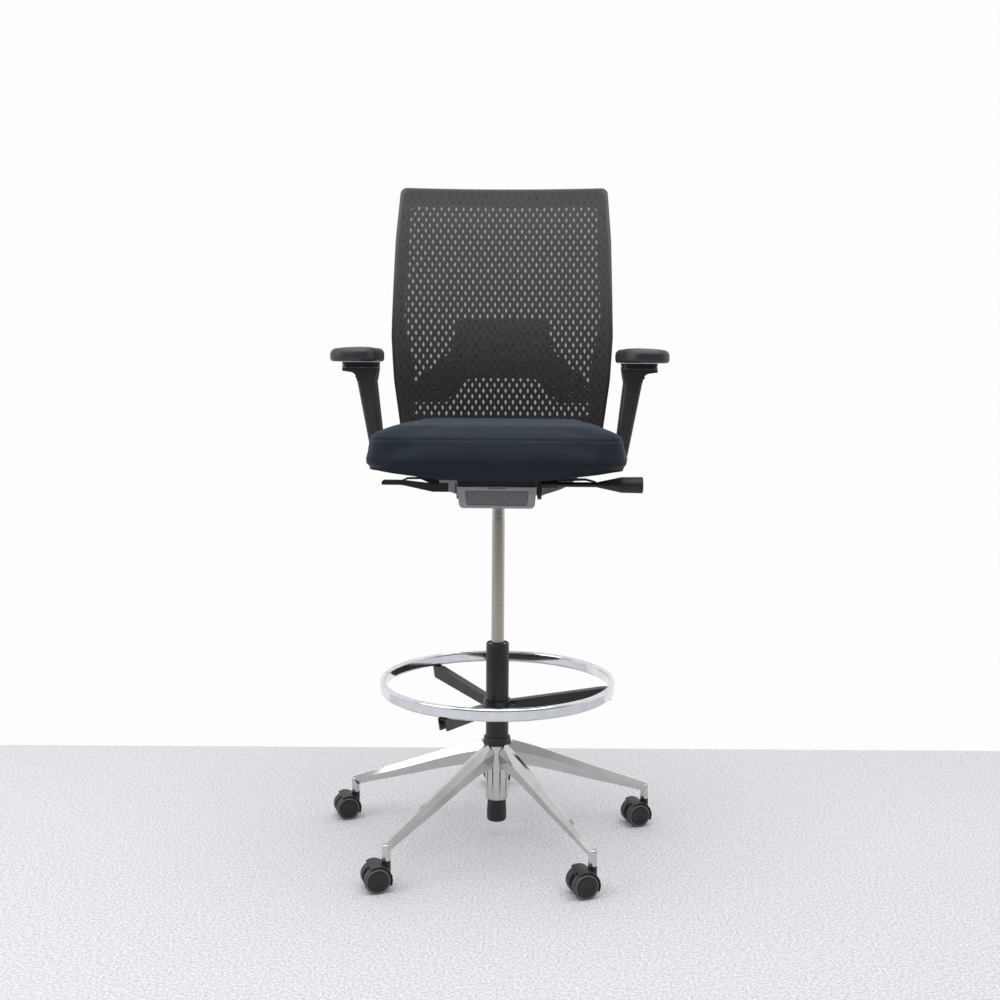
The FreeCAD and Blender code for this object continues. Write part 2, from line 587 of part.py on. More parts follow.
def mechanism_housing():
    tub = plate_xz(both_sides([(HOUSING_BOTTOM_HALF, HOUSING_BOTTOM, 10),
                               (HOUSING_TOP_HALF, HOUSING_TOP, 0)]),
                   HOUSING_FRONT, HOUSING_REAR)
    slope = plate_yz([(SEAT_PIVOT[0] + 5, HOUSING_TOP, 0), (SEAT_PIVOT[0] + 5, HOUSING_TOP + 20, 0),
                      (HOUSING_REAR + 5, HOUSING_TOP + 20, 0), (HOUSING_REAR + 5, HOUSING_REAR_TOP, 0)],
                     -HOUSING_TOP_HALF - 5, HOUSING_TOP_HALF + 5)
    tub = tub.cut(slope)
    wall = HOUSING_WALL
    hollow = plate_xz(both_sides([(HOUSING_BOTTOM_HALF - wall, HOUSING_BOTTOM + wall, 6),
                                  (HOUSING_TOP_HALF - wall, HOUSING_TOP + 1, 0)]),
                      HOUSING_FRONT + 8, HOUSING_REAR - 8)
    tub = tub.cut(hollow)
    boss = Part.makeCylinder(BOSS_RADIUS, CYLINDER_TOP - BOSS_BOTTOM, vec(0, 0, BOSS_BOTTOM))
    tub = tub.fuse(boss)
    for y0, y1 in ((-LUG_OUTER, -LUG_INNER), (LUG_INNER, LUG_OUTER)):
        tub = tub.fuse(box(HEIGHT_PIVOT[0] - 6, HEIGHT_PIVOT[0] + 6, y0, y1, HOUSING_BOTTOM + 1,
                           HEIGHT_PIVOT[1] + 4.5))
    taper = (CYLINDER_SHOULDER_RADIUS - CYLINDER_TIP_RADIUS) / (CYLINDER_TOP - CYLINDER_SHOULDER)
    low_radius = CYLINDER_TIP_RADIUS + taper * (CYLINDER_TOP - BOSS_BOTTOM + 1) + TAPER_GAP
    tub = tub.cut(Part.makeCone(low_radius, CYLINDER_TIP_RADIUS + TAPER_GAP - taper,
                                CYLINDER_TOP - BOSS_BOTTOM + 2,
                                vec(0, 0, BOSS_BOTTOM - 1)))
    tub = tub.cut(plate_xz(panel_outline(1.0), HOUSING_FRONT - 1, HOUSING_FRONT + PANEL_INSET))
    tub = tub.cut(box(0, HOUSING_TOP_HALF + 5, -LEVER_HALF - 1, LEVER_HALF + 1, HEIGHT_PIVOT[1] - 6,
                      HOUSING_TOP + 5).common(box(HOUSING_BOTTOM_HALF - wall, 90, -20, 20, 0, 900)))
    tub = tub.cut(cross_pin(SEAT_PIVOT, SEAT_PIN_RADIUS + SEATED, SEAT_PIN_HALF))
    tub = tub.cut(cross_pin(BACK_PIVOT, BACK_PIN_RADIUS + SEATED, 90))
    tub = tub.cut(lever_pin(HEIGHT_PIVOT, -20, 20, LEVER_PIN_RADIUS + SEATED))
    return one_solid(tub)


def front_panel():
    panel = plate_xz(panel_outline(0), HOUSING_FRONT + 0.6, HOUSING_FRONT + PANEL_INSET - 0.1)
    catch = plate_xz(both_sides([(19, HOUSING_TOP - 4.2, 1), (17.5, HOUSING_TOP + 1.6, 1)]),
                     HOUSING_FRONT - 4, HOUSING_FRONT - 0.1)
    return panel, catch


def mechanism_pins():
    return (cross_pin(SEAT_PIVOT, SEAT_PIN_RADIUS, SEAT_PIN_HALF - 0.2),
            cross_pin(BACK_PIVOT, BACK_PIN_RADIUS, BACK_PIN_HALF),
            lever_pin(LOCK_PIVOT, LOCK_LEVER_Y - 13, LOCK_LEVER_Y + 13),
            lever_pin(DEPTH_PIVOT, DEPTH_LEVER_Y - 12, DEPTH_LEVER_Y + 12),
            lever_pin(HEIGHT_PIVOT, -15, 15))


def tilt_springs():
    """Two torsion springs wound round the back pivot pin."""
    mean = BACK_PIN_RADIUS + FACE_GAP + SPRING_WIRE / 2
    pitch = SPRING_WIRE + 0.6
    length = pitch * 7
    helix = Part.makeHelix(pitch, length, mean)
    wire_end = Part.Wire(Part.makeCircle(SPRING_WIRE / 2, vec(mean, 0, 0), vec(0, 1, 0)))
    coil = Part.Wire(helix).makePipeShell([wire_end], True, True)
    coil = spun(coil, 90, axis=(0, 1, 0))
    return (moved(coil, 32, BACK_PIVOT[0], BACK_PIVOT[1]),
            moved(coil, -32 - length, BACK_PIVOT[0], BACK_PIVOT[1]))


def side_brackets():
    """Aluminium wings beside the housing: the left one carries two levers."""
    inner = HOUSING_TOP_HALF + FACE_GAP
    leg_low = HOUSING_TOP - 24
    plate_low = 798.0
    plate_top = 807.0
    left = box(-123, -inner, LOCK_LEVER_Y - 13, DEPTH_LEVER_Y + 11, plate_low, plate_top)
    left = left.fuse(box(-inner - 3.7, -inner, LOCK_LEVER_Y - 13, DEPTH_LEVER_Y + 11, leg_low, plate_top))
    for y in (LOCK_LEVER_Y - 12, LOCK_LEVER_Y + 8):
        left = left.fuse(box(LOCK_PIVOT[0] - 7, LOCK_PIVOT[0] + 7, y, y + 4, LOCK_PIVOT[1] - 7,
                             plate_low + 1))
    for y in (DEPTH_LEVER_Y - 11, DEPTH_LEVER_Y + 7.3):
        left = left.fuse(box(DEPTH_PIVOT[0] - 6, DEPTH_PIVOT[0] + 6, y, y + 3.7, DEPTH_PIVOT[1] - 6,
                             plate_low + 1))
    left = left.cut(lever_pin(LOCK_PIVOT, LOCK_LEVER_Y - 14, LOCK_LEVER_Y + 14, LEVER_PIN_RADIUS + SEATED))
    left = left.cut(lever_pin(DEPTH_PIVOT, DEPTH_LEVER_Y - 13, DEPTH_LEVER_Y + 13,
                              LEVER_PIN_RADIUS + SEATED))
    right = box(inner, 123, TENSION_AXIS[0] + 11.5, -13, plate_low, plate_top)
    right = right.fuse(box(inner, inner + 3.7, TENSION_AXIS[0] + 11.5, -13, leg_low, plate_top))
    return one_solid(left), one_solid(right)


def tension_sleeve():
    y, z = TENSION_AXIS
    inner = HOUSING_TOP_HALF + FACE_GAP
    block = box(inner, 91, y - 11, y + 11, HOUSING_TOP - 24, z + 10)
    tube = round_bar((91, y, z), (127, y, z), 9)
    bore = round_bar((84, y, z), (130, y, z), TENSION_SHAFT_RADIUS + RUNNING)
    return one_solid(block.fuse(tube).cut(bore))


def tension_shaft():
    y, z = TENSION_AXIS
    thick = round_bar((84 + FACE_GAP, y, z), (KNOB_START - 0.1, y, z), TENSION_SHAFT_RADIUS)
    thin = round_bar((KNOB_START - 1, y, z), (KNOB_START + 40, y, z), TENSION_SHAFT_RADIUS - 1.35)
    return one_solid(thick.fuse(thin))


def tension_knob():
    y, z = TENSION_AXIS
    profile = turned([(TENSION_SHAFT_RADIUS - 1.35 + SEATED, KNOB_START, 0),
                      (TENSION_SHAFT_RADIUS + 0.4, KNOB_START, 0),
                      (KNOB_RADIUS - 0.8, KNOB_SHOULDER, 6), (KNOB_RADIUS, KNOB_END, 2.5),
                      (0, KNOB_END + 1, 0),
                      (0, KNOB_START + 41, 0), (TENSION_SHAFT_RADIUS - 1.35 + SEATED, KNOB_START + 41, 0)])
    return moved(spun(profile, 90, axis=(0, 1, 0)), 0, y, z)


def lock_lever():
    side = [(-88.8, 778, 1), (-88.8, 794, 1), (-130, 794, 20), (-203, 801.8, 12), (-243, 801.8, 2),
            (-246, 799, 2),
            (-246, 792, 1.5), (-203, 792, 60), (-138, 778, 20)]
    lever = plate_xz(side, LOCK_LEVER_Y - 7.5, LOCK_LEVER_Y + 7.5)
    blade = box(-246, -195, LOCK_LEVER_Y - 7.5, LOCK_LEVER_Y + 9, 780, 810)
    paddle = plate_xz(side, LOCK_LEVER_Y - 7.5, LOCK_LEVER_Y + 9).common(blade)
    lever = lever.fuse(paddle)
    return one_solid(lever.cut(lever_pin(LOCK_PIVOT, LOCK_LEVER_Y - 9, LOCK_LEVER_Y + 9,
                                         LEVER_PIN_RADIUS + RUNNING)))


def depth_lever():
    side = [(-104, 786, 1), (-104, 796, 1), (-127, 796, 0), (-128, 805.5, 2), (-159, 805.5, 20),
            (-196, 804, 12),
            (-211, 797, 1), (-209.6, 794.2, 1), (-195, 800.6, 12), (-166, 801, 10), (-140, 789, 5),
            (-127, 786, 4)]
    lever = plate_xz(side, DEPTH_LEVER_Y - 7, DEPTH_LEVER_Y + 7)
    return one_solid(lever.cut(lever_pin(DEPTH_PIVOT, DEPTH_LEVER_Y - 9, DEPTH_LEVER_Y + 9,
                                         LEVER_PIN_RADIUS + RUNNING)))


def height_lever():
    low = VALVE_PIN_TOP + FACE_GAP
    high = low + 6
    side = [(-7, low, 2), (84, low, 8), (114, 796.6, 14), (186, 799.6, 20), (210, 794.5, 1),
            (211, 796.8, 1),
            (188, 803.2, 20), (112, 802.4, 14), (80, high, 8), (-7, high, 2)]
    lever = plate_xz(side, -LEVER_HALF, LEVER_HALF)
    waist = LUG_INNER - FACE_GAP
    for y0, y1 in ((-LEVER_HALF - 1, -waist), (waist, LEVER_HALF + 1)):
        lever = lever.cut(box(-10, HEIGHT_PIVOT[0] + 9, y0, y1, low - 2, high + 2))
    return one_solid(lever.cut(lever_pin(HEIGHT_PIVOT, -12, 12, LEVER_PIN_RADIUS + RUNNING)))


# ---------------------------------------------------------------- seat
def seat_carrier():
    half = CARRIER_HALF
    rail_inner = half - RAIL_WIDTH
    body = box(-half - 1, half + 1, HOUSING_FRONT - 1, HOUSING_FRONT + 22, CARRIER_BOTTOM, CARRIER_TOP)
    body = body.fuse(box(-half, half, CARRIER_REAR - 20, CARRIER_REAR, CARRIER_BOTTOM, CARRIER_TOP))
    for side in (-1, 1):
        low, high = sorted((side * rail_inner, side * half))
        body = body.fuse(box(low, high, HOUSING_FRONT, CARRIER_REAR, CARRIER_BOTTOM, CARRIER_TOP))
        low, high = sorted((side * (rail_inner + 2), side * (half - 7)))
        ear = box(low, high, SEAT_PIVOT[0] - 9, SEAT_PIVOT[0] + 9, SEAT_PIVOT[1], CARRIER_BOTTOM + 1)
        ear = ear.fuse(round_bar((low, *SEAT_PIVOT), (high, *SEAT_PIVOT), 9))
        body = body.fuse(ear)
    body = body.cut(cross_pin(SEAT_PIVOT, SEAT_PIN_RADIUS + RUNNING, half))
    return one_solid(body)


def seat_plan(margin):
    return both_sides([(SEAT_FRONT_HALF - 10 - margin, SEAT_FRONT + margin, 76 - margin),
                       (SEAT_FRONT_HALF - margin, SEAT_WIDEST, 150),
                       (SEAT_REAR_HALF - margin, SEAT_REAR - margin, 58 - margin)])


def seat_shell():
    top = CUSHION_BOTTOM - SOFT_GAP
    pan = plate_xy(seat_plan(9), top - PAN_THICKNESS, top)
    bottom = CARRIER_TOP + FACE_GAP
    for side in (-1, 1):
        low, high = sorted((side * (CARRIER_HALF - RAIL_WIDTH - 3), side * (CARRIER_HALF + 3)))
        pan = pan.fuse(box(low, high, -150, 160, bottom, top - 1))
        low, high = sorted((side * (CARRIER_HALF - RAIL_WIDTH - 4),
                            side * (CARRIER_HALF - RAIL_WIDTH - 0.5)))
        pan = pan.fuse(box(low, high, -40, 110, bottom - 10, top - 1))
    belly_front = SEAT_FRONT + 12
    belly_rear = -45
    belly = plate_xz(both_sides([(BELLY_HALF, BELLY_BOTTOM, 60), (242, top - 4, 3), (246, top - 1, 0)]),
                     belly_front, belly_rear)
    hollow = plate_xz(both_sides([(BELLY_HALF - 2, BELLY_BOTTOM + 4, 60), (226, top - 1, 0)]),
                      belly_front + 4, belly_rear + 1)
    belly = belly.cut(hollow).common(plate_xy(seat_plan(9), BELLY_BOTTOM - 5, top))
    belly = belly.cut(box(-CARRIER_HALF - 3, CARRIER_HALF + 3, HOUSING_FRONT - 60, 0, BELLY_BOTTOM - 5,
                          bottom))
    return one_solid(pan.fuse(belly))


def seat_cushion():
    body = plate_xy(seat_plan(0), CUSHION_BOTTOM, CUSHION_TOP)
    top_edges = [e for e in body.Edges if abs(e.BoundBox.ZMin - CUSHION_TOP) < 0.01]
    body = body.makeFillet(CUSHION_ROLL, top_edges)
    low_edges = [e for e in body.Edges if abs(e.BoundBox.ZMax - CUSHION_BOTTOM) < 0.01]
    return one_solid(body.makeFillet(10, low_edges))


# ---------------------------------------------------------------- arms, right side (+X)
def arm_axis_x(z):
    return ARM_FOOT[0] + ARM_LEAN * (z - ARM_FOOT[1])


def arm_bracket():
    lean_run = POST_WIDTH / 2 * math.hypot(1, ARM_LEAN)
    low = CARRIER_BOTTOM + 8
    high = low + 12
    side = [(CARRIER_HALF + SEATED, low, 0), (150, low, 60), (arm_axis_x(816) + lean_run, 817, 16),
            (arm_axis_x(POST_TOP) + lean_run, POST_TOP, 2), (arm_axis_x(POST_TOP) - lean_run, POST_TOP, 2),
            (arm_axis_x(824) - lean_run, 824, 7), (150, high, 60), (CARRIER_HALF + SEATED, high, 0)]
    arm = plate_xz(side, ARM_Y - POST_DEPTH / 2, ARM_Y + POST_DEPTH / 2)
    flange = box(CARRIER_HALF + SEATED, CARRIER_HALF + 6, 8, 60, low - 2, high)
    return one_solid(arm.fuse(flange))


def sleeve_section(z, width, depth, lean=0.0):
    x = arm_axis_x(z) + lean
    rounding = 8
    wire = outline([(x - width / 2, ARM_Y - depth / 2, rounding),
                    (x + width / 2, ARM_Y - depth / 2, rounding),
                    (x + width / 2, ARM_Y + depth / 2, rounding),
                    (x - width / 2, ARM_Y + depth / 2, rounding)],
                   lambda u, v: vec(u, v, z))
    return wire


def arm_sleeve():
    neck = SLEEVE_TOP - FLANGE_THICKNESS - 20
    post = Part.makeLoft([sleeve_section(ARM_FOOT[1], SLEEVE_FOOT_WIDTH, SLEEVE_DEPTH),
                          sleeve_section(neck, SLEEVE_HEAD_WIDTH - 3, SLEEVE_DEPTH + 6, 1.5)], True, True)
    inner_top = arm_axis_x(neck) + 1.5 - (SLEEVE_HEAD_WIDTH - 3) / 2
    outer_top = inner_top + SLEEVE_HEAD_WIDTH - 3
    flange_low = SLEEVE_TOP - FLANGE_THICKNESS
    crown = outline([(inner_top, neck, 0), (outer_top, neck, 0), (outer_top + 2, flange_low - 3, 15),
                     (FLANGE_OUTER, flange_low + 1, 0), (FLANGE_OUTER, SLEEVE_TOP, 1),
                     (FLANGE_INNER, SLEEVE_TOP, 1)],
                    lambda u, v: vec(u, ARM_Y - SLEEVE_DEPTH / 2 - 3, v))
    head = Part.Face(crown).extrude(vec(0, SLEEVE_DEPTH + 6, 0))
    body = post.fuse(head)
    gap = FACE_GAP
    lean_half = (POST_WIDTH / 2 + gap) * math.hypot(1, ARM_LEAN)
    slot = plate_xz([(arm_axis_x(800) - lean_half, 800, 0), (arm_axis_x(800) + lean_half, 800, 0),
                     (arm_axis_x(POST_TOP + 8) + lean_half, POST_TOP + 8, 0),
                     (arm_axis_x(POST_TOP + 8) - lean_half, POST_TOP + 8, 0)],
                    ARM_Y - POST_DEPTH / 2 - gap, ARM_Y + POST_DEPTH / 2 + gap)
    body = body.cut(slot)
    body = body.cut(button_shape(RUNNING + 0.1))
    return one_solid(body)


def button_shape(margin):
    """Height button: a short bar along X on the outer side, under the flange."""
    x = arm_axis_x(BUTTON_HEIGHT)
    return plate_yz([(ARM_Y - 12 - margin, BUTTON_HEIGHT - 4 - margin, 2),
                     (ARM_Y + 12 + margin, BUTTON_HEIGHT - 4 - margin, 2),
                     (ARM_Y + 12 + margin, BUTTON_HEIGHT + 4 + margin, 2),
                     (ARM_Y - 12 - margin, BUTTON_HEIGHT + 4 + margin, 2)],
                    x + 2 - (BUTTON_TRAVEL + 1 if margin else 0), x + 42)


def arm_button():
    x = arm_axis_x(BUTTON_HEIGHT)
    bar = button_shape(0)
    return one_solid(bar.common(box(x, x + BUTTON_REACH, 0, 80, 1000, 1040)))


def arm_plate():
    low = SLEEVE_TOP + FACE_GAP
    top = low + ARM_PLATE_THICKNESS
    width_half = (FLANGE_OUTER - FLANGE_INNER) / 2
    centre = (FLANGE_OUTER + FLANGE_INNER) / 2
    length_half = ARM_PLATE_LENGTH / 2

    def slab(inset, z0, z1):
        x0 = centre - width_half + inset
        x1 = centre + width_half - inset
        y0 = ARM_Y - length_half + inset
        y1 = ARM_Y + length_half - inset
        corner = 12 - inset
        return plate_xy([(x0, y0, corner), (x1, y0, corner), (x1, y1, corner), (x0, y1, corner)], z0, z1)

    # a groove runs round the plate
    return one_solid(slab(0, low, low + 4.5).fuse(slab(2, low + 3, low + 8)).fuse(slab(0, low + 6, top)))


def arm_pad():
    low = SLEEVE_TOP + FACE_GAP + ARM_PLATE_THICKNESS + FACE_GAP
    half = PAD_LENGTH / 2
    pad = plate_xy([(PAD_INNER, -half, 38), (PAD_OUTER, -half, 38), (PAD_OUTER, half, 38),
                    (PAD_INNER, half, 38)],
                   low, low + PAD_THICKNESS)
    top_edges = [e for e in pad.Edges if abs(e.BoundBox.ZMin - low - PAD_THICKNESS) < 0.01]
    pad = pad.makeFillet(PAD_ROLL, top_edges)
    return one_solid(pad)


# ---------------------------------------------------------------- back
def back_slab(near, far):
    """Curved slab that follows the back, from near to far behind its front face."""
    sections = []
    for z, y, _ in BACK_EDGE:
        corners = [vec(-BACK_SPAN, y + near, z), vec(0, y + near + BACK_HOLLOW, z),
                   vec(BACK_SPAN, y + near, z)]
        rear = [p + vec(0, far - near, 0) for p in corners]
        sections.append(Part.Wire([Part.Arc(*corners).toShape(),
                                   Part.LineSegment(corners[2], rear[2]).toShape(),
                                   Part.Arc(rear[2], rear[1], rear[0]).toShape(),
                                   Part.LineSegment(rear[0], corners[0]).toShape()]))
    return Part.makeLoft(sections, True, False)


def back_half_width(z):
    for (z0, _, w0), (z1, _, w1) in zip(BACK_EDGE, BACK_EDGE[1:]):
        if z <= z1:
            return w0 + (w1 - w0) * (z - z0) / (z1 - z0)
    return BACK_EDGE[-1][2]


def back_outline(inset, top_inset):
    """Outer outline of the back, drawn in a little at the sides and at the top."""
    low = BACK_BOTTOM + top_inset
    high = BACK_TOP - top_inset
    right = [(back_half_width(low) - inset, low, 14)]
    right += [(back_half_width(z) - inset, z, 150) for z in (1010, 1110, 1330)]
    right.append((back_half_width(high) - inset, high, FRAME_CORNER - top_inset))
    return plate_xz(both_sides(right), 100, 420)


def back_frame():
    body = back_slab(0, FRAME_THICKNESS).common(back_outline(0, 0))
    window = both_sides([(FOOT_HALF, BACK_BOTTOM + BOTTOM_BAR, 6), (FOOT_HALF, GUIDE_TOP, 60),
                         (back_half_width(1140) - SIDE_BAR, 1140, 150),
                         (back_half_width(1330) - SIDE_BAR, 1330, 150),
                         (back_half_width(1410) - SIDE_BAR, BACK_TOP - TOP_BAR, 16)])
    body = body.cut(plate_xz(window, 100, 420))
    for hole in back_screws(SEATED):
        body = body.cut(hole)
    return one_solid(body)


def back_mesh():
    return one_solid(back_slab(-MESH_THICKNESS - 0.2, -0.2).common(back_outline(MESH_EDGE, 1.5)))


def lumbar_support():
    """Perforated arch between the frame's lower guides."""
    foot = FOOT_HALF - 0.4
    arch = both_sides([(foot, LUMBAR_FOOT, 3), (foot, LUMBAR_FOOT + 44, 26), (122, 1072, 30),
                       (100, LUMBAR_TOP, 22)])
    opening = both_sides([(foot - 62, LUMBAR_FOOT - 18, 0), (118, LUMBAR_FOOT + 16, 14),
                          (76, LUMBAR_FOOT + 56, 22)])
    body = plate_xz(arch, 100, 420).cut(plate_xz(opening, 90, 430))
    slab = back_slab(LUMBAR_SET_BACK, LUMBAR_SET_BACK + LUMBAR_THICKNESS)
    return one_solid(body.common(slab))


def yoke_section(centre, direction, wide, tall):
    """Rectangle across a direction, with its wide side level."""
    forward = vec(*direction).normalize()
    across = vec(1, 0, 0) - forward * forward.x
    across.normalize()
    upward = across.cross(forward)
    middle = vec(*centre)
    corners = [middle + across * (wide / 2 * a) + upward * (tall / 2 * b)
               for a, b in ((-1, -1), (1, -1), (1, 1), (-1, 1))]
    return Part.makePolygon(corners + [corners[0]])


def yoke_arm():
    cheek_mid = sum(YOKE_CHEEK) / 2
    cheek_wide = YOKE_CHEEK[1] - YOKE_CHEEK[0]
    behind = back_edge_depth(905) + FRAME_THICKNESS
    sections = [yoke_section((cheek_mid, BACK_PIVOT[0], BACK_PIVOT[1]), (0, 1, 0), cheek_wide, 30),
                yoke_section((cheek_mid, HOUSING_REAR, BACK_PIVOT[1] - 1), (0, 1, 0), cheek_wide, 28),
                yoke_section((126, 184, 774), (0.45, 0.85, 0.2), 30, 22),
                yoke_section((182, behind + 28, 822), (0.5, 0.45, 0.75), 34, 18),
                yoke_section((198, behind + 22, 884), (0.1, -0.05, 1), 36, 14),
                yoke_section((200, behind + 19, 930), (0.03, -0.12, 1), 34, 12)]
    return Part.makeLoft(sections, True, False)


def back_edge_depth(z):
    for (z0, y0, _), (z1, y1, _) in zip(BACK_EDGE, BACK_EDGE[1:]):
        if z <= z1:
            return y0 + (y1 - y0) * (z - z0) / (z1 - z0)
    return BACK_EDGE[-1][1]


def back_yoke():
    arm = yoke_arm()
    cheek = round_bar((YOKE_CHEEK[0], *BACK_PIVOT), (YOKE_CHEEK[1], *BACK_PIVOT), 16)
    arm = arm.fuse(cheek)
    body = arm.fuse(mirrored_x(arm))
    bridge = box(-YOKE_CHEEK[1], YOKE_CHEEK[1], HOUSING_REAR + 12, HOUSING_REAR + 34, BACK_PIVOT[1] - 12,
                 BACK_PIVOT[1] + 10)
    body = body.fuse(bridge)
    body = body.cut(cross_pin(BACK_PIVOT, BACK_PIN_RADIUS + RUNNING, 120))
    body = body.cut(back_slab(-20, FRAME_THICKNESS + 0.1))
    for hole in back_screws(SEATED):
        body = body.cut(hole)
    return one_solid(body)


def screw_shape(side, z, margin):
    """A screw of the back, or with a margin its hole."""
    x = side * SCREW_X
    y = back_edge_depth(z) + FRAME_THICKNESS + SCREW_HOLLOW
    shank = round_bar((x, y - 8, z), (x, y + 24, z), SCREW_RADIUS + margin)
    head = round_bar((x, y + 22 - margin, z), (x, y + 25 + 60 * margin, z), SCREW_RADIUS * 1.9 + margin)
    return one_solid(shank.fuse(head))


def back_screws(margin=0.0):
    """Four screws through the yoke's heads into the frame's lower corners."""
    return [screw_shape(side, z, margin) for side in (-1, 1) for z in SCREW_HEIGHTS]


def main():
    os.makedirs("parts", exist_ok=True)
    save("base_star", base_star())
    save("base_collar", base_collar())
    housing = caster_housing()
    pins = caster_pins()
    for i in range(LEG_COUNT):
        name = "caster_%d" % (i + 1)
        save(name + "_housing", placed_caster(housing, i))
        save(name + "_pins", *[placed_caster(pin, i) for pin in pins])
        save(name + "_wheel_left", placed_caster(wheel(-1), i))
        save(name + "_wheel_right", placed_caster(wheel(1), i))
    save("column_tube", column_tube())
    save("column_bearings", *column_bearings())
    save("column_end_cap", column_end_cap())
    save("piston_rod", piston_rod())
    save("rod_clip", rod_clip())
    save("gas_cylinder", gas_cylinder())
    save("valve_pin", valve_pin())
    save("footring", footring())
    save("footring_spokes", footring_spokes())
    save("footring_clamp_screw", footring_clamp_screw())
    save("mechanism_housing", mechanism_housing())
    save("front_panel", *front_panel())
    save("mechanism_pins", *mechanism_pins())
    save("tilt_springs", *tilt_springs())
    save("side_brackets", *side_brackets())
    save("tension_sleeve", tension_sleeve())
    save("tension_shaft", tension_shaft())
    save("tension_knob", tension_knob())
    save("lock_lever", lock_lever())
    save("depth_lever", depth_lever())
    save("height_lever", height_lever())
    save("seat_carrier", seat_carrier())
    save("seat_shell", seat_shell())
    save("seat_cushion", seat_cushion())
    bracket = arm_bracket()
    save("arm_brackets", bracket, mirrored_x(bracket))
    for side, flip in (("left", lambda s: s), ("right", mirrored_x)):
        save("arm_%s_sleeve" % side, flip(arm_sleeve()))
        save("arm_%s_button" % side, flip(arm_button()))
        save("arm_%s_plate" % side, flip(arm_plate()))
        save("arm_%s_pad" % side, flip(arm_pad()))
    save("back_frame", back_frame())
    save("back_mesh", back_mesh())
    save("lumbar_support", lumbar_support())
    save("back_yoke", back_yoke())
    save("back_screws", *back_screws())


main()
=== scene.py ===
import json
import math

import bmesh
import bpy
from mathutils import Matrix, Vector
from mathutils.bvhtree import BVHTree


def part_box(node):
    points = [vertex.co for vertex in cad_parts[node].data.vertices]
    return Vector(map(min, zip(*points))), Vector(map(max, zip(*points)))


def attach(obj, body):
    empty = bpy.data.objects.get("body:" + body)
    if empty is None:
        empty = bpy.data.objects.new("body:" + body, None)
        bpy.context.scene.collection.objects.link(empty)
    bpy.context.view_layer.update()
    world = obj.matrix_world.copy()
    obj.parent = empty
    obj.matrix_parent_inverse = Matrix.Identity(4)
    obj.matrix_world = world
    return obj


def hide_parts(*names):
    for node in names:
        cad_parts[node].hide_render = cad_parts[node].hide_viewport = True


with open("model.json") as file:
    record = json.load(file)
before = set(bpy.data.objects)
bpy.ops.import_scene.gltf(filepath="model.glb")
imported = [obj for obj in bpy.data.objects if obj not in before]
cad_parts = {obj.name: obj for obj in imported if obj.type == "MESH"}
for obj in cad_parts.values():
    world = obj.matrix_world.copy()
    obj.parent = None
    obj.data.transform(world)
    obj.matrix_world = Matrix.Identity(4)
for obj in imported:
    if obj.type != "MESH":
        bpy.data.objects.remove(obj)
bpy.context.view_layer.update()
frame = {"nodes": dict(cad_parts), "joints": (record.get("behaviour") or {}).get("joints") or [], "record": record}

MM = 0.001                     # sizes below are in millimetres

# ---- back net: staggered pointed holes in a knitted sheet, each closed by a finer rear layer
CELL_WIDTH = 17.2
CELL_HEIGHT = 26.4
HOLE_WIDTH = 7.6
HOLE_HEIGHT = 21.5
NET_THICKNESS = 1.5
NET_RIM = 2.0                  # first inset of a cell, before its hole is shaped
LINING_STEP = 0.5              # from the hole's edge to the rear layer
LINING_DEPTH = 0.9             # rear layer behind the front one
NET_BORDER = 0.4               # kept free of the sheet's own edge

# ---- seat cushion
SEAT_FRONT_IN = 5.0            # front corners inside the widest place
SEAT_REAR_IN = 46.0
SEAT_WIDEST = 120.0            # widest place, behind the front edge
SEAT_SIDE_ROOM = 1.0           # left free at the sides for the swell
SEAT_CROWN_ROOM = 5.0
SEAT_ROLL = 38.0               # rounding of the top edge
SEAT_LOW_ROLL = 14.0
SEAT_TOP_ROOM = 6.0            # highest place below the node's top
SEAT_DOME = 4.0
SEAT_SMOOTH = 8                # smoothing passes after the swell
WRAP_REAR = -45.0              # the cover wraps the shell's belly in front of this
WRAP_SKIN = 1.0
SEAT_SWELL = 16.0              # most that a point may move
SEAT_PRESSURE = 4.0            # of the fill against the cover
SEAT_FRAMES = 20               # frames that the fill takes to settle
SEAT_HELD = 10.0               # height of the underside that stays in place
SEAT_SIDE_IN = 2.5             # widest place inside the node's sides
SEAT_VOXEL = 6.0
SEAM_HEIGHT = 58.0             # top seam above the cushion's underside
CREASE_HEIGHT = 12.0
SEAM_DEPTH = 1.8
STITCH_LENGTH = 3.6
STITCH_PITCH = 5.0
STITCH_WIDTH = 1.2
STITCH_DROP = 5.0              # stitch row below the seam

# ---- arm pads
PAD_CORNER = 38.0
PAD_ROLL = 13.0
PAD_LOW_ROLL = 7.0
PAD_CROWN = 2.0
PAD_INSETS = (12, 14)          # steps in which the top rises to its crown
PAD_SLOPE = 2.4                # degrees that the top leans to the outer side
PAD_TURN = 1.6                 # degrees about the vertical

# ---- casters
WHEEL_WIDTH = 20.0
RIM_OUTER = 24.6
RIM_INNER = 22.3

# ---- camera and light
CAMERA_PLACE = (0.0767, -2.6303, 1.0483)
CAMERA_DOWN = 6.356            # degrees below level
CAMERA_TURN = 1.6              # degrees to the left
CAMERA_ROLL = 0.352
CAMERA_LENS = 44.07


# ---------------------------------------------------------------- nodes
def linear(colour):
    """An sRGB hex colour as linear red, green, blue and alpha."""
    parts = [int(colour[i:i + 2], 16) / 255 for i in (1, 3, 5)]
    return tuple(p / 12.92 if p <= 0.04045 else ((p + 0.055) / 1.055) ** 2.4 for p in parts) + (1.0,)


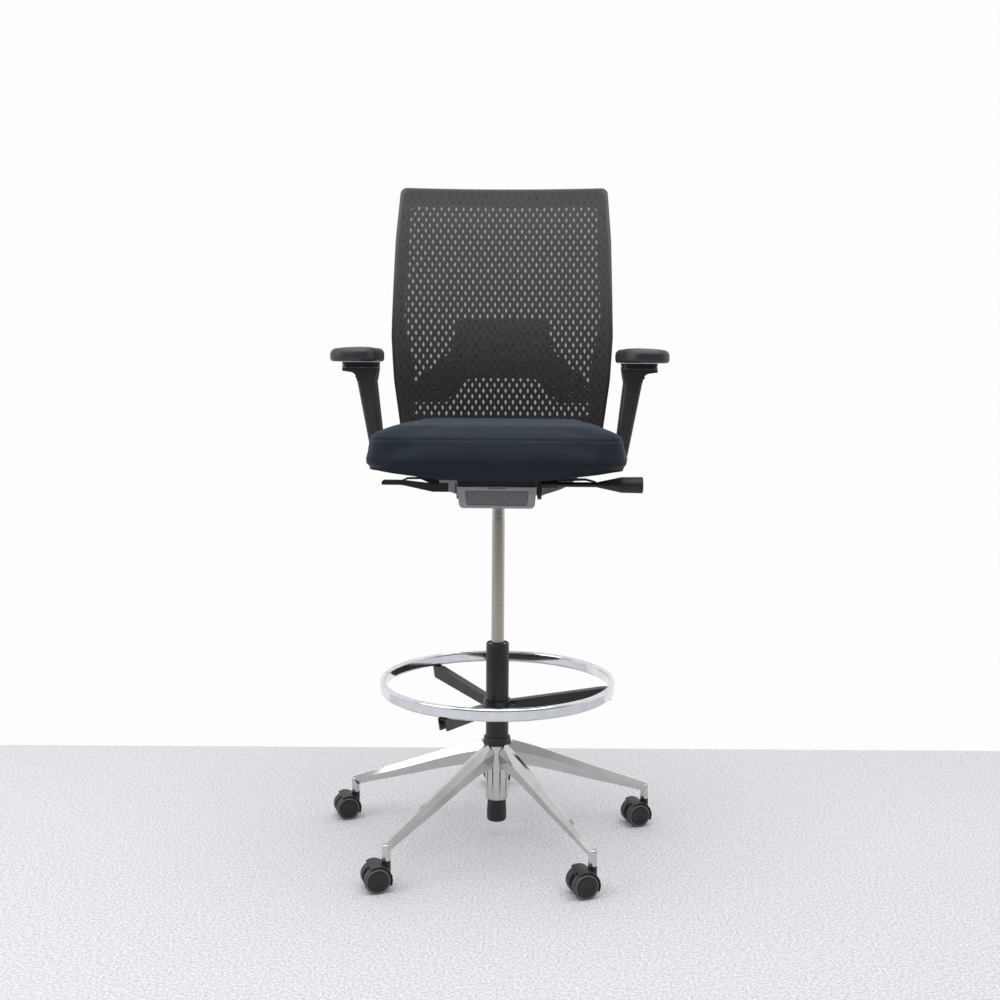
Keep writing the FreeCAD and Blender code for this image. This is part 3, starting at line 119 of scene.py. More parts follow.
def add(tree, kind, inputs=None, **settings):
    """A shader node with its settings; an input that is a socket is linked."""
    node = tree.nodes.new("ShaderNode" + kind)
    for name, value in settings.items():
        setattr(node, name, value)
    for name, value in (inputs or {}).items():
        if isinstance(value, bpy.types.NodeSocket):
            tree.links.new(value, node.inputs[name])
        else:
            node.inputs[name].default_value = value
    return node


def begin(name):
    """A new material, its tree and its Object coordinates."""
    material = bpy.data.materials.new(name)
    material.use_nodes = True
    tree = material.node_tree
    tree.nodes.clear()
    return material, tree, add(tree, "TexCoord").outputs["Object"]


def grains(tree, place, size, detail=2.0):
    """Noise whose grains are about size millimetres."""
    return add(tree, "TexNoise", {"Vector": place, "Scale": 1 / (size * MM), "Detail": detail}).outputs[0]


def stretched(tree, place, factors):
    return add(tree, "Mapping", {"Vector": place, "Scale": factors}).outputs[0]


def between(tree, share, low, high):
    """A value from low to high as share goes from 0.3 to 0.7, where noise mostly lies."""
    return add(tree, "MapRange", {"Value": share, "From Min": 0.3, "From Max": 0.7, "To Min": low,
                                  "To Max": high}).outputs[0]


def tinted(tree, share, low, high):
    """A colour between two hex colours, where share is noise."""
    mixed = add(tree, "Mix", {0: between(tree, share, 0.0, 1.0), 6: linear(low), 7: linear(high)},
                data_type="RGBA")
    return mixed.outputs[2]


def relief(tree, height, depth, under=None):
    """Bump of a depth in millimetres."""
    inputs = {"Height": height, "Distance": depth * MM, "Strength": 1.0}
    if under is not None:
        inputs["Normal"] = under
    return add(tree, "Bump", inputs).outputs[0]


def shaded(tree, inputs):
    shader = add(tree, "BsdfPrincipled", inputs)
    add(tree, "OutputMaterial", {"Surface": shader.outputs[0]})


# ---------------------------------------------------------------- finishes
def polished_aluminium():
    """Die-cast aluminium, buffed: near-mirror, a little uneven from the mop."""
    material, tree, place = begin("polished_aluminium")
    cloud = grains(tree, place, 60)
    swell = grains(tree, place, 45, 1.0)
    shaded(tree, {"Base Color": tinted(tree, cloud, "#c3c2c0", "#cfcecc"), "Metallic": 1.0,
                  "Roughness": between(tree, cloud, 0.08, 0.13), "Normal": relief(tree, swell, 0.12)})
    return material


def satin_cast_aluminium():
    """Cast aluminium under silver powder coat: satin, with a faint pebble."""
    material, tree, place = begin("satin_cast_aluminium")
    pebble = grains(tree, place, 1.4, 1.0)
    shaded(tree, {"Base Color": tinted(tree, grains(tree, place, 18), "#b0b2b4", "#bcbec0"),
                  "Metallic": 0.25,
                  "Roughness": between(tree, pebble, 0.34, 0.44), "Normal": relief(tree, pebble, 0.05)})
    return material


def brushed_bracket_aluminium():
    """Milled aluminium brackets: satin, brushed along their length."""
    material, tree, place = begin("brushed_bracket_aluminium")
    brush = grains(tree, stretched(tree, place, (0.08, 1.0, 1.0)), 0.6, 3.0)
    shaded(tree, {"Base Color": tinted(tree, brush, "#a2a4a6", "#bcbec0"), "Metallic": 1.0,
                  "Roughness": between(tree, brush, 0.26, 0.40), "Normal": relief(tree, brush, 0.02)})
    return material


def ring_chrome():
    """Chrome plate on bent steel tube: a mirror, with the tube's slight waviness."""
    material, tree, place = begin("ring_chrome")
    waves = grains(tree, place, 35, 1.0)
    shaded(tree, {"Base Color": tinted(tree, waves, "#d3d5d8", "#e0e2e5"), "Metallic": 1.0,
                  "Roughness": between(tree, grains(tree, place, 4), 0.04, 0.09),
                  "Normal": relief(tree, waves, 0.15)})
    return material


def satin_nickel():
    """Nickel-plated cylinder, turned: satin rings round it, slightly warm in colour."""
    material, tree, place = begin("satin_nickel")
    rings = grains(tree, stretched(tree, place, (0.02, 0.02, 1.0)), 6.0, 1.0)
    shaded(tree, {"Base Color": tinted(tree, rings, "#aca59b", "#b8b0a5"), "Metallic": 1.0,
                  "Roughness": between(tree, rings, 0.24, 0.29)})
    return material


def ground_steel():
    """Zinc-plated pins and screws: fine grinding marks, a little dull."""
    material, tree, place = begin("ground_steel")
    marks = grains(tree, place, 0.7, 3.0)
    shaded(tree, {"Base Color": tinted(tree, marks, "#85868a", "#a0a1a4"), "Metallic": 1.0,
                  "Roughness": between(tree, marks, 0.30, 0.46)})
    return material


def black_powder_coat():
    """Black powder coat on steel: satin, with the orange peel of the cured powder."""
    material, tree, place = begin("black_powder_coat")
    peel = grains(tree, place, 1.6, 1.0)
    shaded(tree, {"Base Color": tinted(tree, grains(tree, place, 25), "#131314", "#1a1a1c"),
                  "Metallic": 0.0,
                  "Roughness": between(tree, peel, 0.34, 0.46), "IOR": 1.5,
                  "Normal": relief(tree, peel, 0.06)})
    return material


def moulded_nylon():
    """Glass-filled nylon from a spark-eroded mould: matt charcoal, with a fine grain that is
    really 0.2 mm and is drawn at 0.7 mm so that it shows."""
    material, tree, place = begin("moulded_nylon")
    grain = grains(tree, place, 0.7, 2.0)
    flow = grains(tree, place, 45)
    shaded(tree, {"Base Color": tinted(tree, flow, "#19191b", "#222225"),
                  "Roughness": between(tree, grain, 0.42, 0.58),
                  "IOR": 1.5, "Normal": relief(tree, grain, 0.05)})
    return material


def sleeve_nylon():
    """The armrest sleeves' nylon: satin dark grey, lighter than the levers."""
    material, tree, place = begin("sleeve_nylon")
    grain = grains(tree, place, 0.7, 2.0)
    shaded(tree, {"Base Color": tinted(tree, grains(tree, place, 45), "#2e2e31", "#38383c"),
                  "Roughness": between(tree, grain, 0.36, 0.48), "IOR": 1.5,
                  "Normal": relief(tree, grain, 0.04)})
    return material


def frame_nylon():
    """The back frame's nylon: a finer mould, so satin, with a brighter sheen on its edges."""
    material, tree, place = begin("frame_nylon")
    grain = grains(tree, place, 0.8, 1.0)
    shaded(tree, {"Base Color": tinted(tree, grains(tree, place, 60), "#2b2c2f", "#35363a"),
                  "Roughness": between(tree, grain, 0.30, 0.40), "IOR": 1.5,
                  "Normal": relief(tree, grain, 0.03)})
    return material


def panel_abs():
    """ABS cover plate: grey-black, satin."""
    material, tree, place = begin("panel_abs")
    grain = grains(tree, place, 0.9, 1.0)
    shaded(tree, {"Base Color": tinted(tree, grains(tree, place, 20), "#7c7d7f", "#858688"),
                  "Roughness": between(tree, grain, 0.34, 0.44), "IOR": 1.53,
                  "Normal": relief(tree, grain, 0.03)})
    return material


def bush_acetal():
    """Acetal bushes: off-white and waxy."""
    material, tree, place = begin("bush_acetal")
    cloud = grains(tree, place, 8)
    shaded(tree, {"Base Color": tinted(tree, cloud, "#cfcec6", "#dddcd5"),
                  "Roughness": between(tree, cloud, 0.3, 0.4),
                  "IOR": 1.48, "Subsurface Weight": 0.1})
    return material


def tread_polyurethane():
    """Soft polyurethane tread: dark grey, dusty where it rolls."""
    material, tree, place = begin("tread_polyurethane")
    dust = grains(tree, place, 5, 4.0)
    shaded(tree, {"Base Color": tinted(tree, dust, "#232324", "#303031"),
                  "Roughness": between(tree, dust, 0.45, 0.66),
                  "IOR": 1.5, "Normal": relief(tree, dust, 0.04)})
    return material


def rim_nylon():
    """Grey-brown nylon ring that holds the tread."""
    material, tree, place = begin("rim_nylon")
    cloud = grains(tree, place, 4)
    shaded(tree, {"Base Color": tinted(tree, cloud, "#5d5955", "#6a6661"),
                  "Roughness": between(tree, cloud, 0.40, 0.52),
                  "IOR": 1.5})
    return material


def cap_nylon():
    """Black hub cap of the wheel: smoother than the hood."""
    material, tree, place = begin("cap_nylon")
    cloud = grains(tree, place, 3)
    shaded(tree, {"Base Color": tinted(tree, cloud, "#141415", "#1b1b1c"),
                  "Roughness": between(tree, cloud, 0.26, 0.36),
                  "IOR": 1.5})
    return material


def pad_polyurethane():
    """Integral-skin polyurethane foam: soft satin black, with a leather-like grain 1.1 mm across."""
    material, tree, place = begin("pad_polyurethane")
    pebbles = add(tree, "TexVoronoi", {"Vector": place, "Scale": 1 / (1.1 * MM), "Randomness": 1.0},
                  feature="SMOOTH_F1").outputs["Distance"]
    wear = grains(tree, place, 40, 3.0)
    shaded(tree, {"Base Color": tinted(tree, wear, "#2a2b2e", "#343539"),
                  "Roughness": between(tree, wear, 0.34, 0.44),
                  "IOR": 1.48, "Normal": relief(tree, pebbles, 0.10)})
    return material


def lumbar_nylon():
    """The lumbar arch's nylon sheet, pierced by rows of 1.6 mm holes that are 10 mm apart."""
    material, tree, place = begin("lumbar_nylon")
    grain = grains(tree, place, 0.8, 1.0)
    flat = add(tree, "Mapping", {"Vector": place, "Rotation": (math.radians(90), 0.0, 0.0)}).outputs[0]
    slanted = add(tree, "Mapping", {"Vector": flat, "Rotation": (0.0, 0.0, math.radians(45))}).outputs[0]
    holes = add(tree, "TexVoronoi", {"Vector": slanted, "Scale": 1 / (10.0 * MM), "Randomness": 0.0},
                voronoi_dimensions="2D")
    outside = add(tree, "Math", {0: holes.outputs["Distance"], 1: 0.8 / 10.0}, operation="GREATER_THAN")
    shaded(tree, {"Base Color": linear("#151517"), "Roughness": between(tree, grain, 0.44, 0.56),
                  "IOR": 1.5,
                  "Normal": relief(tree, grain, 0.04), "Alpha": outside.outputs[0]})
    return material


def ribs(tree, place, direction, pitch):
    """Even ribs across one axis, pitch millimetres apart."""
    return add(tree, "TexWave", {"Vector": place, "Scale": 0.1 * math.pi / (pitch * MM), "Distortion": 0.6,
                                 "Detail": 1.0, "Detail Scale": 2.0},
                                 bands_direction=direction).outputs["Fac"]


def woven_seat_cloth():
    """Flat-woven polyester: blue-black, two shades of yarn, soft and without gloss. The threads
    are about 0.6 mm apart and are drawn 1.6 mm apart so that they show."""
    material, tree, place = begin("woven_seat_cloth")
    threads = add(tree, "Math", {0: ribs(tree, place, "X", 1.6), 1: ribs(tree, place, "Y", 1.6)},
                  operation="ADD")
    threads = add(tree, "Math", {0: threads.outputs[0], 1: ribs(tree, place, "Z", 1.6)}, operation="ADD")
    yarn = grains(tree, stretched(tree, place, (1.0, 2.0, 2.0)), 1.8, 3.0)
    fade = grains(tree, place, 90, 2.0)
    shade = add(tree, "Mix", {0: between(tree, fade, 0.0, 0.35),
                              6: tinted(tree, yarn, "#0b141c", "#111d28"),
                              7: linear("#15212c")}, data_type="RGBA")
    shaded(tree, {"Base Color": shade.outputs[2], "Roughness": between(tree, yarn, 0.82, 0.95), "IOR": 1.45,
                  "Sheen Weight": 0.35, "Sheen Roughness": 0.35, "Sheen Tint": linear("#8fa3b5"),
                  "Normal": relief(tree, threads.outputs[0], 0.10)})
    return material


def seam_thread_painted_highlight():
    """Bonded polyester sewing yarn, a shade lighter than the cloth: the stitches are real, and their lighter
    colour is a painted highlight for the light line that falls just below the seam.
    """
    material, tree, place = begin("seam_thread_painted_highlight")
    twist = grains(tree, place, 0.6, 2.0)
    # painted highlight: the stitch colour is set well lighter than the cloth to stand for the highlight line below
    # the seam
    shaded(tree, {"Base Color": tinted(tree, twist, "#344556", "#485c6f"),
                  "Roughness": between(tree, twist, 0.5, 0.7),
                  "Sheen Weight": 0.2})
    return material


def knitted_net():
    """Knitted polyester net: grey-black ribbed strands. The stitches are drawn 1.5 mm apart."""
    material, tree, place = begin("knitted_net")
    stitches = ribs(tree, place, "Z", 1.5)
    yarn = grains(tree, place, 1.2, 3.0)
    shaded(tree, {"Base Color": tinted(tree, yarn, "#1e1e21", "#2e2e32"),
                  "Roughness": between(tree, yarn, 0.6, 0.78),
                  "IOR": 1.5, "Sheen Weight": 0.3, "Sheen Roughness": 0.5,
                  "Normal": relief(tree, stitches, 0.08, relief(tree, yarn, 0.05))})
    return material


def net_lining():
    """The finer rear layer of the knit, seen through the holes: brown-grey threads 1.8 mm apart
    with gaps between them. The real threads are about 0.8 mm apart."""
    material, tree, place = begin("net_lining")
    threads = add(tree, "Math", {0: ribs(tree, place, "X", 1.8), 1: ribs(tree, place, "Z", 1.8)},
                  operation="MAXIMUM").outputs[0]
    solid = add(tree, "MapRange", {"Value": threads, "From Min": 0.45, "From Max": 0.55, "To Min": 0.12,
                                   "To Max": 0.62}).outputs[0]
    hue = grains(tree, place, 12, 1.0)
    shaded(tree, {"Base Color": tinted(tree, hue, "#393431", "#2f363e"), "Roughness": 0.8, "IOR": 1.5,
                  "Alpha": solid})
    return material


def floor_finish():
    """Low looped carpet in pale grey yarns: flecks of about 6 mm."""
    material, tree, place = begin("pale_floor")
    fleck = grains(tree, place, 5, 6.0)
    shaded(tree, {"Base Color": tinted(tree, fleck, "#abacb1", "#dfe0e3"), "Roughness": 0.95,
                  "Normal": relief(tree, fleck, 2.0)})
    return material


# ---------------------------------------------------------------- making pieces
def cad_surface(node):
    """A CAD node's faces, to cast rays at."""
    shape = bmesh.new()
    shape.from_mesh(frame["nodes"][node].data)
    tree = BVHTree.FromBMesh(shape)
    shape.free()
    return tree


def new_piece(name, shape, finish, body):
    """Turns a bmesh into a smooth-shaded piece that rides on a body."""
    bmesh.ops.recalc_face_normals(shape, faces=shape.faces)
    mesh = bpy.data.meshes.new(name)
    shape.to_mesh(mesh)
    shape.free()
    mesh.polygons.foreach_set("use_smooth", [True] * len(mesh.polygons))
    mesh.materials.append(finish)
    piece = bpy.data.objects.new(name, mesh)
    bpy.context.scene.collection.objects.link(piece)
    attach(piece, body)
    return piece


def subdivided(piece, levels):
    modifier = piece.modifiers.new("subdivision", "SUBSURF")
    modifier.levels = levels
    modifier.render_levels = levels


def apply_modifiers(piece):
    """Makes the piece's shown shape its mesh."""
    depsgraph = bpy.context.evaluated_depsgraph_get()
    mesh = bpy.data.meshes.new_from_object(piece.evaluated_get(depsgraph))
    piece.modifiers.clear()
    piece.data = mesh


def rounded_face(shape, corners, radii, height):
    """A flat face through corners, each rounded by its own cut-back length."""
    points = [shape.verts.new((x, y, height)) for x, y in corners]
    face = shape.faces.new(points)
    for point, radius in zip(points, radii):
        bmesh.ops.bevel(shape, geom=[point], offset=radius, segments=8, profile=0.5, affect="VERTICES",
                        material=-1)
    shape.faces.ensure_lookup_table()
    return shape.faces[0]


def level_edges(shape, height):
    return [e for e in shape.edges if all(abs(v.co.z - height) < 1e-6 for v in e.verts)]


def raised_block(corners, radii, low, high, low_roll, high_roll):
    """A rounded face raised to a block, its lower and upper edges rolled."""
    shape = bmesh.new()
    face = rounded_face(shape, corners, radii, low)
    raised = bmesh.ops.extrude_face_region(shape, geom=[face], use_keep_orig=True)
    tops = [v for v in raised["geom"] if isinstance(v, bmesh.types.BMVert)]
    bmesh.ops.translate(shape, verts=tops, vec=(0, 0, high - low))
    bmesh.ops.recalc_face_normals(shape, faces=shape.faces)
    for height, roll, steps in ((high, high_roll, 8), (low, low_roll, 4)):
        bmesh.ops.bevel(shape, geom=level_edges(shape, height), offset=roll, segments=steps, profile=0.5,
                        affect="EDGES", material=-1)
    return shape


# ---------------------------------------------------------------- seat
def seat_block():
    lo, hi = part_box("seat_cushion")
    room = SEAT_SIDE_ROOM * MM
    half = hi.x - room
    front = half - SEAT_FRONT_IN * MM
    rear = half - SEAT_REAR_IN * MM
    widest = lo.y + SEAT_WIDEST * MM
    right = [(front, lo.y + room), (half, widest), (rear, hi.y - room)]
    corners = right + [(-x, y) for x, y in reversed(right)]
    cuts = [56 * MM, 50 * MM, 52 * MM]
    return raised_block(corners, cuts + cuts[::-1], lo.z, hi.z - SEAT_CROWN_ROOM * MM, SEAT_LOW_ROLL * MM,
                        SEAT_ROLL * MM)


def swollen(piece, voxel, most, pinned_below):
    """Fills the piece with pressure as a cloth bag; its underside stays, and no point moves far."""
    remesh = piece.modifiers.new("remesh", "REMESH")
    remesh.mode = "VOXEL"
    remesh.voxel_size = voxel
    apply_modifiers(piece)
    rest = [v.co.copy() for v in piece.data.vertices]
    held = piece.vertex_groups.new(name="held")
    held.add([i for i, co in enumerate(rest) if co.z < pinned_below], 1.0, "ADD")
    cloth = piece.modifiers.new("cloth", "CLOTH")
    cloth.settings.use_pressure = True
    cloth.settings.uniform_pressure_force = SEAT_PRESSURE
    cloth.settings.vertex_group_mass = "held"
    cloth.settings.effector_weights.gravity = 0.0
    cloth.point_cache.frame_start = 1
    cloth.point_cache.frame_end = SEAT_FRAMES
    scene = bpy.context.scene
    for step in range(1, SEAT_FRAMES + 1):
        scene.frame_set(step)
    apply_modifiers(piece)
    for vertex, start in zip(piece.data.vertices, rest):
        move = vertex.co - start
        if move.length > most:
            vertex.co = start + move * (most / move.length)
    scene.frame_set(1)


def seat_cushion():
    lo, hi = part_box("seat_cushion")
    piece = new_piece("seat_cushion_cover", seat_block(), finishes["seat_fabric"], "seat")
    swollen(piece, SEAT_VOXEL * MM, SEAT_SWELL * MM, lo.z + SEAT_HELD * MM)
    limit_x = hi.x - SEAT_SIDE_IN * MM
    shape = bmesh.new()
    shape.from_mesh(piece.data)
    for _ in range(SEAT_SMOOTH):
        bmesh.ops.smooth_vert(shape, verts=shape.verts, factor=0.5, use_axis_x=True, use_axis_y=True,
                              use_axis_z=True)
    widest = max(abs(vertex.co.x) for vertex in shape.verts)
    for vertex in shape.verts:
        vertex.co.x *= limit_x / widest
        across = 1 - (vertex.co.x / hi.x) ** 2
        along = 1 - ((vertex.co.y - (lo.y + hi.y) / 2) / (hi.y - lo.y) * 2) ** 2
        height = (vertex.co.z - lo.z) / (hi.z - lo.z)
        vertex.co.z += SEAT_DOME * MM * max(0, across) * max(0, along) * max(0, height) ** 2
    top = max(vertex.co.z for vertex in shape.verts)
    seam = lo.z + SEAM_HEIGHT * MM
    for vertex in shape.verts:
        if vertex.co.z > seam:
            vertex.co.z = seam + (vertex.co.z - seam) * (hi.z - SEAT_TOP_ROOM * MM - seam) / (top - seam)
    wrap_shell(shape, lo.z + SEAT_HELD * MM)
    sew(shape, lo.z + SEAM_HEIGHT * MM, SEAM_DEPTH * MM)
    sew(shape, lo.z + CREASE_HEIGHT * MM, SEAM_DEPTH * MM * 0.8)
    # the stitch row sits on the highlight line below the seam, and its lighter colour is painted highlight
    stitch_row(shape, lo.z + (SEAM_HEIGHT - STITCH_DROP) * MM)
    bmesh.ops.recalc_face_normals(shape, faces=shape.faces)
    shape.to_mesh(piece.data)
    shape.free()
    piece.data.polygons.foreach_set("use_smooth", [True] * len(piece.data.polygons))
    subdivided(piece, 1)
    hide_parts("seat_cushion")
    return piece


def wrap_shell(shape, reach):
    """The front of the cover's underside is drawn down round the shell."""
    shell = cad_surface("seat_shell")
    for vertex in shape.verts:
        if vertex.co.y < WRAP_REAR * MM and vertex.co.z < reach:
            hit = shell.ray_cast(Vector((vertex.co.x, vertex.co.y, 0)), Vector((0, 0, 1)))[0]
            if hit is not None:
                vertex.co.z = min(vertex.co.z, hit.z - WRAP_SKIN * MM)


def stitch_row(cover, height):
    """A row of stitches round the cover at a height; their lighter finish paints the highlight that falls below
    the seam.
    """
    surface = BVHTree.FromBMesh(cover)
    lo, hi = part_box("seat_cushion")
    centre = Vector((0, (lo.y + hi.y) / 2, height))
    path = []
    for step in range(1440):
        turn = math.tau * step / 1440
        way = Vector((math.sin(turn), math.cos(turn), 0))
        hit, normal = surface.ray_cast(centre + way, -way)[:2]
        if hit is not None:
            path.append((hit, normal))
    row = bmesh.new()
    gone = 0.0
    for (start, normal), (end, _) in zip(path, path[1:] + path[:1]):
        gone += (end - start).length
        if gone < STITCH_PITCH * MM:
            continue
        gone = 0.0
        along = (end - start).normalized()
        across = normal.cross(along).normalized()
        turned = Matrix((along, across, along.cross(across))).transposed().to_4x4()
        size = Matrix.Diagonal((STITCH_LENGTH * MM / 2, STITCH_WIDTH * MM / 2, STITCH_WIDTH * MM / 2, 1))
        bmesh.ops.create_icosphere(row, subdivisions=1, radius=1.0,
                                   matrix=Matrix.Translation(end) @ turned @ size)
    new_piece("seat_stitches_painted_highlight", row, finishes["thread_with_painted_highlight"], "seat")


def sew(shape, height, depth):
    """A seam round the piece at a height: one loop pulled in, with a loop close on each side."""
    for offset in (-2.2 * MM, 0.0, 2.2 * MM):
        bmesh.ops.bisect_plane(shape, geom=shape.verts[:] + shape.edges[:] + shape.faces[:],
                               dist=0.2 * MM, plane_co=(0, 0, height + offset), plane_no=(0, 0, 1))
    shape.normal_update()
    for vertex in shape.verts:
        if abs(vertex.co.z - height) < 0.3 * MM:
            inward = Vector((vertex.normal.x, vertex.normal.y, 0))
            if inward.length > 0.5:
                vertex.co -= inward.normalized() * depth


# ---------------------------------------------------------------- back
def half_width(surface, height):
    """Where a sheet that faces -Y ends to the side, at a height."""
    inside, outside = 0.1, 0.3
    for _ in range(16):
        middle = (inside + outside) / 2
        if surface.ray_cast(Vector((middle, -1, height)), Vector((0, 1, 0)))[0] is None:
            outside = middle
        else:
            inside = middle
    return inside


def net_cells(lo, hi):
    """Diamond cells that cover the sheet, as one flat lattice in the XZ plane."""
    shape = bmesh.new()
    count = 2 * int((hi.x - lo.x) / (CELL_WIDTH * MM) / 2 + (hi.z - lo.z) / (CELL_HEIGHT * MM) / 2 + 3)
    bmesh.ops.create_grid(shape, x_segments=count, y_segments=count, size=count / 2)
    diagonal = math.sqrt(2)
    middle = (lo + hi) / 2
    place = (Matrix.Translation((middle.x, 0, middle.z)) @ Matrix.Rotation(math.radians(90), 4, "X")
             @ Matrix.Diagonal((CELL_WIDTH * MM / diagonal, CELL_HEIGHT * MM / diagonal, 1, 1))
             @ Matrix.Rotation(math.radians(45), 4, "Z"))
    bmesh.ops.transform(shape, matrix=place, verts=shape.verts)
    reach_x = CELL_WIDTH * MM * 0.55
    reach_z = CELL_HEIGHT * MM * 0.55
    outside = [f for f in shape.faces
               if not (lo.x - reach_x < f.calc_center_median().x < hi.x + reach_x
                       and lo.z - reach_z < f.calc_center_median().z < hi.z + reach_z)]
    bmesh.ops.delete(shape, geom=outside, context="FACES")
    return shape


def back_net():
    lo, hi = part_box("back_mesh")
    surface = cad_surface("back_mesh")
    shape = net_cells(lo, hi)
    widths = {}

    def width_at(height):
        key = round(height, 3)
        if key not in widths:
            widths[key] = half_width(surface, key)
        return widths[key]

    pierced = []
    for face in shape.faces:
        centre = face.calc_center_median()
        room_x = width_at(min(max(centre.z, lo.z + 2 * MM), hi.z - 2 * MM)) - abs(centre.x)
        room_z = min(centre.z - lo.z, hi.z - centre.z)
        if room_x > HOLE_WIDTH * MM * 0.55 + 2 * MM and room_z > HOLE_HEIGHT * MM * 0.4:
            pierced.append(face)
    bmesh.ops.inset_individual(shape, faces=pierced, thickness=NET_RIM * MM)
    for face in pierced:
        centre = face.calc_center_median()
        wide = max(v.co.x for v in face.verts) - min(v.co.x for v in face.verts)
        tall = max(v.co.z for v in face.verts) - min(v.co.z for v in face.verts)
        bmesh.ops.scale(shape, vec=(HOLE_WIDTH * MM / wide, 1, HOLE_HEIGHT * MM / tall), verts=face.verts,
                        space=Matrix.Translation(-centre))
    for face in pierced:
        face.material_index = 1
    bmesh.ops.inset_individual(shape, faces=pierced, thickness=LINING_STEP * MM)
    sunk = {vertex for face in pierced for vertex in face.verts}
    border = NET_BORDER * MM
    for vertex in shape.verts:
        vertex.co.z = min(max(vertex.co.z, lo.z + border), hi.z - border)
        limit = width_at(vertex.co.z) - border
        vertex.co.x = min(max(vertex.co.x, -limit), limit)
    bmesh.ops.remove_doubles(shape, verts=shape.verts, dist=0.6 * MM)
    bmesh.ops.dissolve_degenerate(shape, edges=shape.edges, dist=0.3 * MM)
    for vertex in shape.verts:
        hit = surface.ray_cast(Vector((vertex.co.x, -1, vertex.co.z)), Vector((0, 1, 0)))[0]
        if hit is None:
            hit = surface.find_nearest(Vector((vertex.co.x, lo.y, vertex.co.z)))[0]
        vertex.co.y = hit.y + (LINING_DEPTH * MM if vertex in sunk else 0.0)
    piece = new_piece("back_net", shape, finishes["mesh"], "back")
    piece.data.materials.append(finishes["net_lining"])
    if sum(p.normal.y for p in piece.data.polygons) > 0:
        piece.data.flip_normals()
    wall = piece.modifiers.new("thickness", "SOLIDIFY")
    wall.thickness = NET_THICKNESS * MM
    wall.offset = -1.0
    subdivided(piece, 1)
    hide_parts("back_mesh")
    return piece


# ---------------------------------------------------------------- arms
def arm_pad(side):
    lo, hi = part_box("arm_%s_pad" % side)
    cut = PAD_CORNER * MM
    corners = [(lo.x, lo.y), (hi.x, lo.y), (hi.x, hi.y), (lo.x, hi.y)]
    shape = raised_block(corners, [cut] * 4, lo.z, hi.z - PAD_CROWN * MM, PAD_LOW_ROLL * MM,
                         PAD_ROLL * MM)
    top = max(shape.faces, key=lambda f: f.calc_center_median().z)
    for step in PAD_INSETS:
        bmesh.ops.inset_region(shape, faces=[top], thickness=step * MM, use_even_offset=True)
        bmesh.ops.translate(shape, verts=top.verts, vec=(0, 0, PAD_CROWN * MM / 2))
    centre = (lo + hi) / 2
    slope = math.tan(math.radians(PAD_SLOPE)) * math.copysign(1, centre.x)
    for vertex in shape.verts:
        vertex.co.z -= (vertex.co.x - centre.x) * slope * (vertex.co.z - lo.z) / (hi.z - lo.z)
    bmesh.ops.rotate(shape, cent=centre, matrix=Matrix.Rotation(math.radians(PAD_TURN), 3, "Z"),
                     verts=shape.verts)
    piece = new_piece("arm_%s_pad_skin" % side, shape, finishes["arm_pad"], "arm_%s_top" % side)
    subdivided(piece, 2)
    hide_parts("arm_%s_pad" % side)
    return piece


# ---------------------------------------------------------------- casters
def turned_piece(name, profile, place, finish, body):
    """Spins (radius, height) points about an axis; place turns +Z onto it."""
    shape = bmesh.new()
    points = [shape.verts.new((radius * MM, 0, height * MM)) for radius, height in profile]
    edges = [shape.edges.new(pair) for pair in zip(points, points[1:] + points[:1])]
    bmesh.ops.spin(shape, geom=points + edges, axis=(0, 0, 1), cent=(0, 0, 0), angle=math.tau, steps=48,
                   use_merge=True)
    bmesh.ops.remove_doubles(shape, verts=shape.verts, dist=0.01 * MM)
    bmesh.ops.transform(shape, matrix=place, verts=shape.verts)
    return new_piece(name, shape, finish, body)


def wheel_trim(number, side):
    """Rim ring and hub cap on the outer side of a wheel."""
    body = "caster_%d_%s" % (number, side)
    lo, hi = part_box("caster_%d_wheel_%s" % (number, side))
    centre = (lo + hi) / 2
    joint = [j for j in frame["joints"] if j["child"] == body][0]
    outward = centre - Vector(joint["pos_m"])
    outward.z = 0
    outward.normalize()
    face = Vector((centre.x, centre.y, centre.z)) + outward * (WHEEL_WIDTH / 2 * MM)
    place = Matrix.Translation(face) @ outward.to_track_quat("Z", "Y").to_matrix().to_4x4()
    rim = [(RIM_INNER, -1.2), (RIM_OUTER, -1.2), (RIM_OUTER, -0.1), (RIM_OUTER - 0.5, 0.4),
           (RIM_INNER + 0.5, 0.5),
           (RIM_INNER, 0.1)]
    turned_piece("caster_%d_rim_%s" % (number, side), rim, place, finishes["rim"], body)
    cap = [(0.01, -1.1), (RIM_INNER - 0.3, -1.1), (RIM_INNER - 0.3, -0.2), (RIM_INNER - 0.9, 0.2),
           (14.0, 0.35),
           (13.4, 0.0), (6.0, 0.1), (0.01, 0.15)]
    turned_piece("caster_%d_cap_%s" % (number, side), cap, place, finishes["cap"], body)


# ---------------------------------------------------------------- stage
def area_light(name, place, target, size, power):
    light = bpy.data.lights.new(name, "AREA")
    light.shape = "RECTANGLE"
    light.size = size[0]
    light.size_y = size[1]
    light.energy = power
    holder = bpy.data.objects.new(name, light)
    bpy.context.scene.collection.objects.link(holder)
    holder.location = place
    holder.rotation_euler = (Vector(target) - Vector(place)).to_track_quat("-Z", "Y").to_euler()


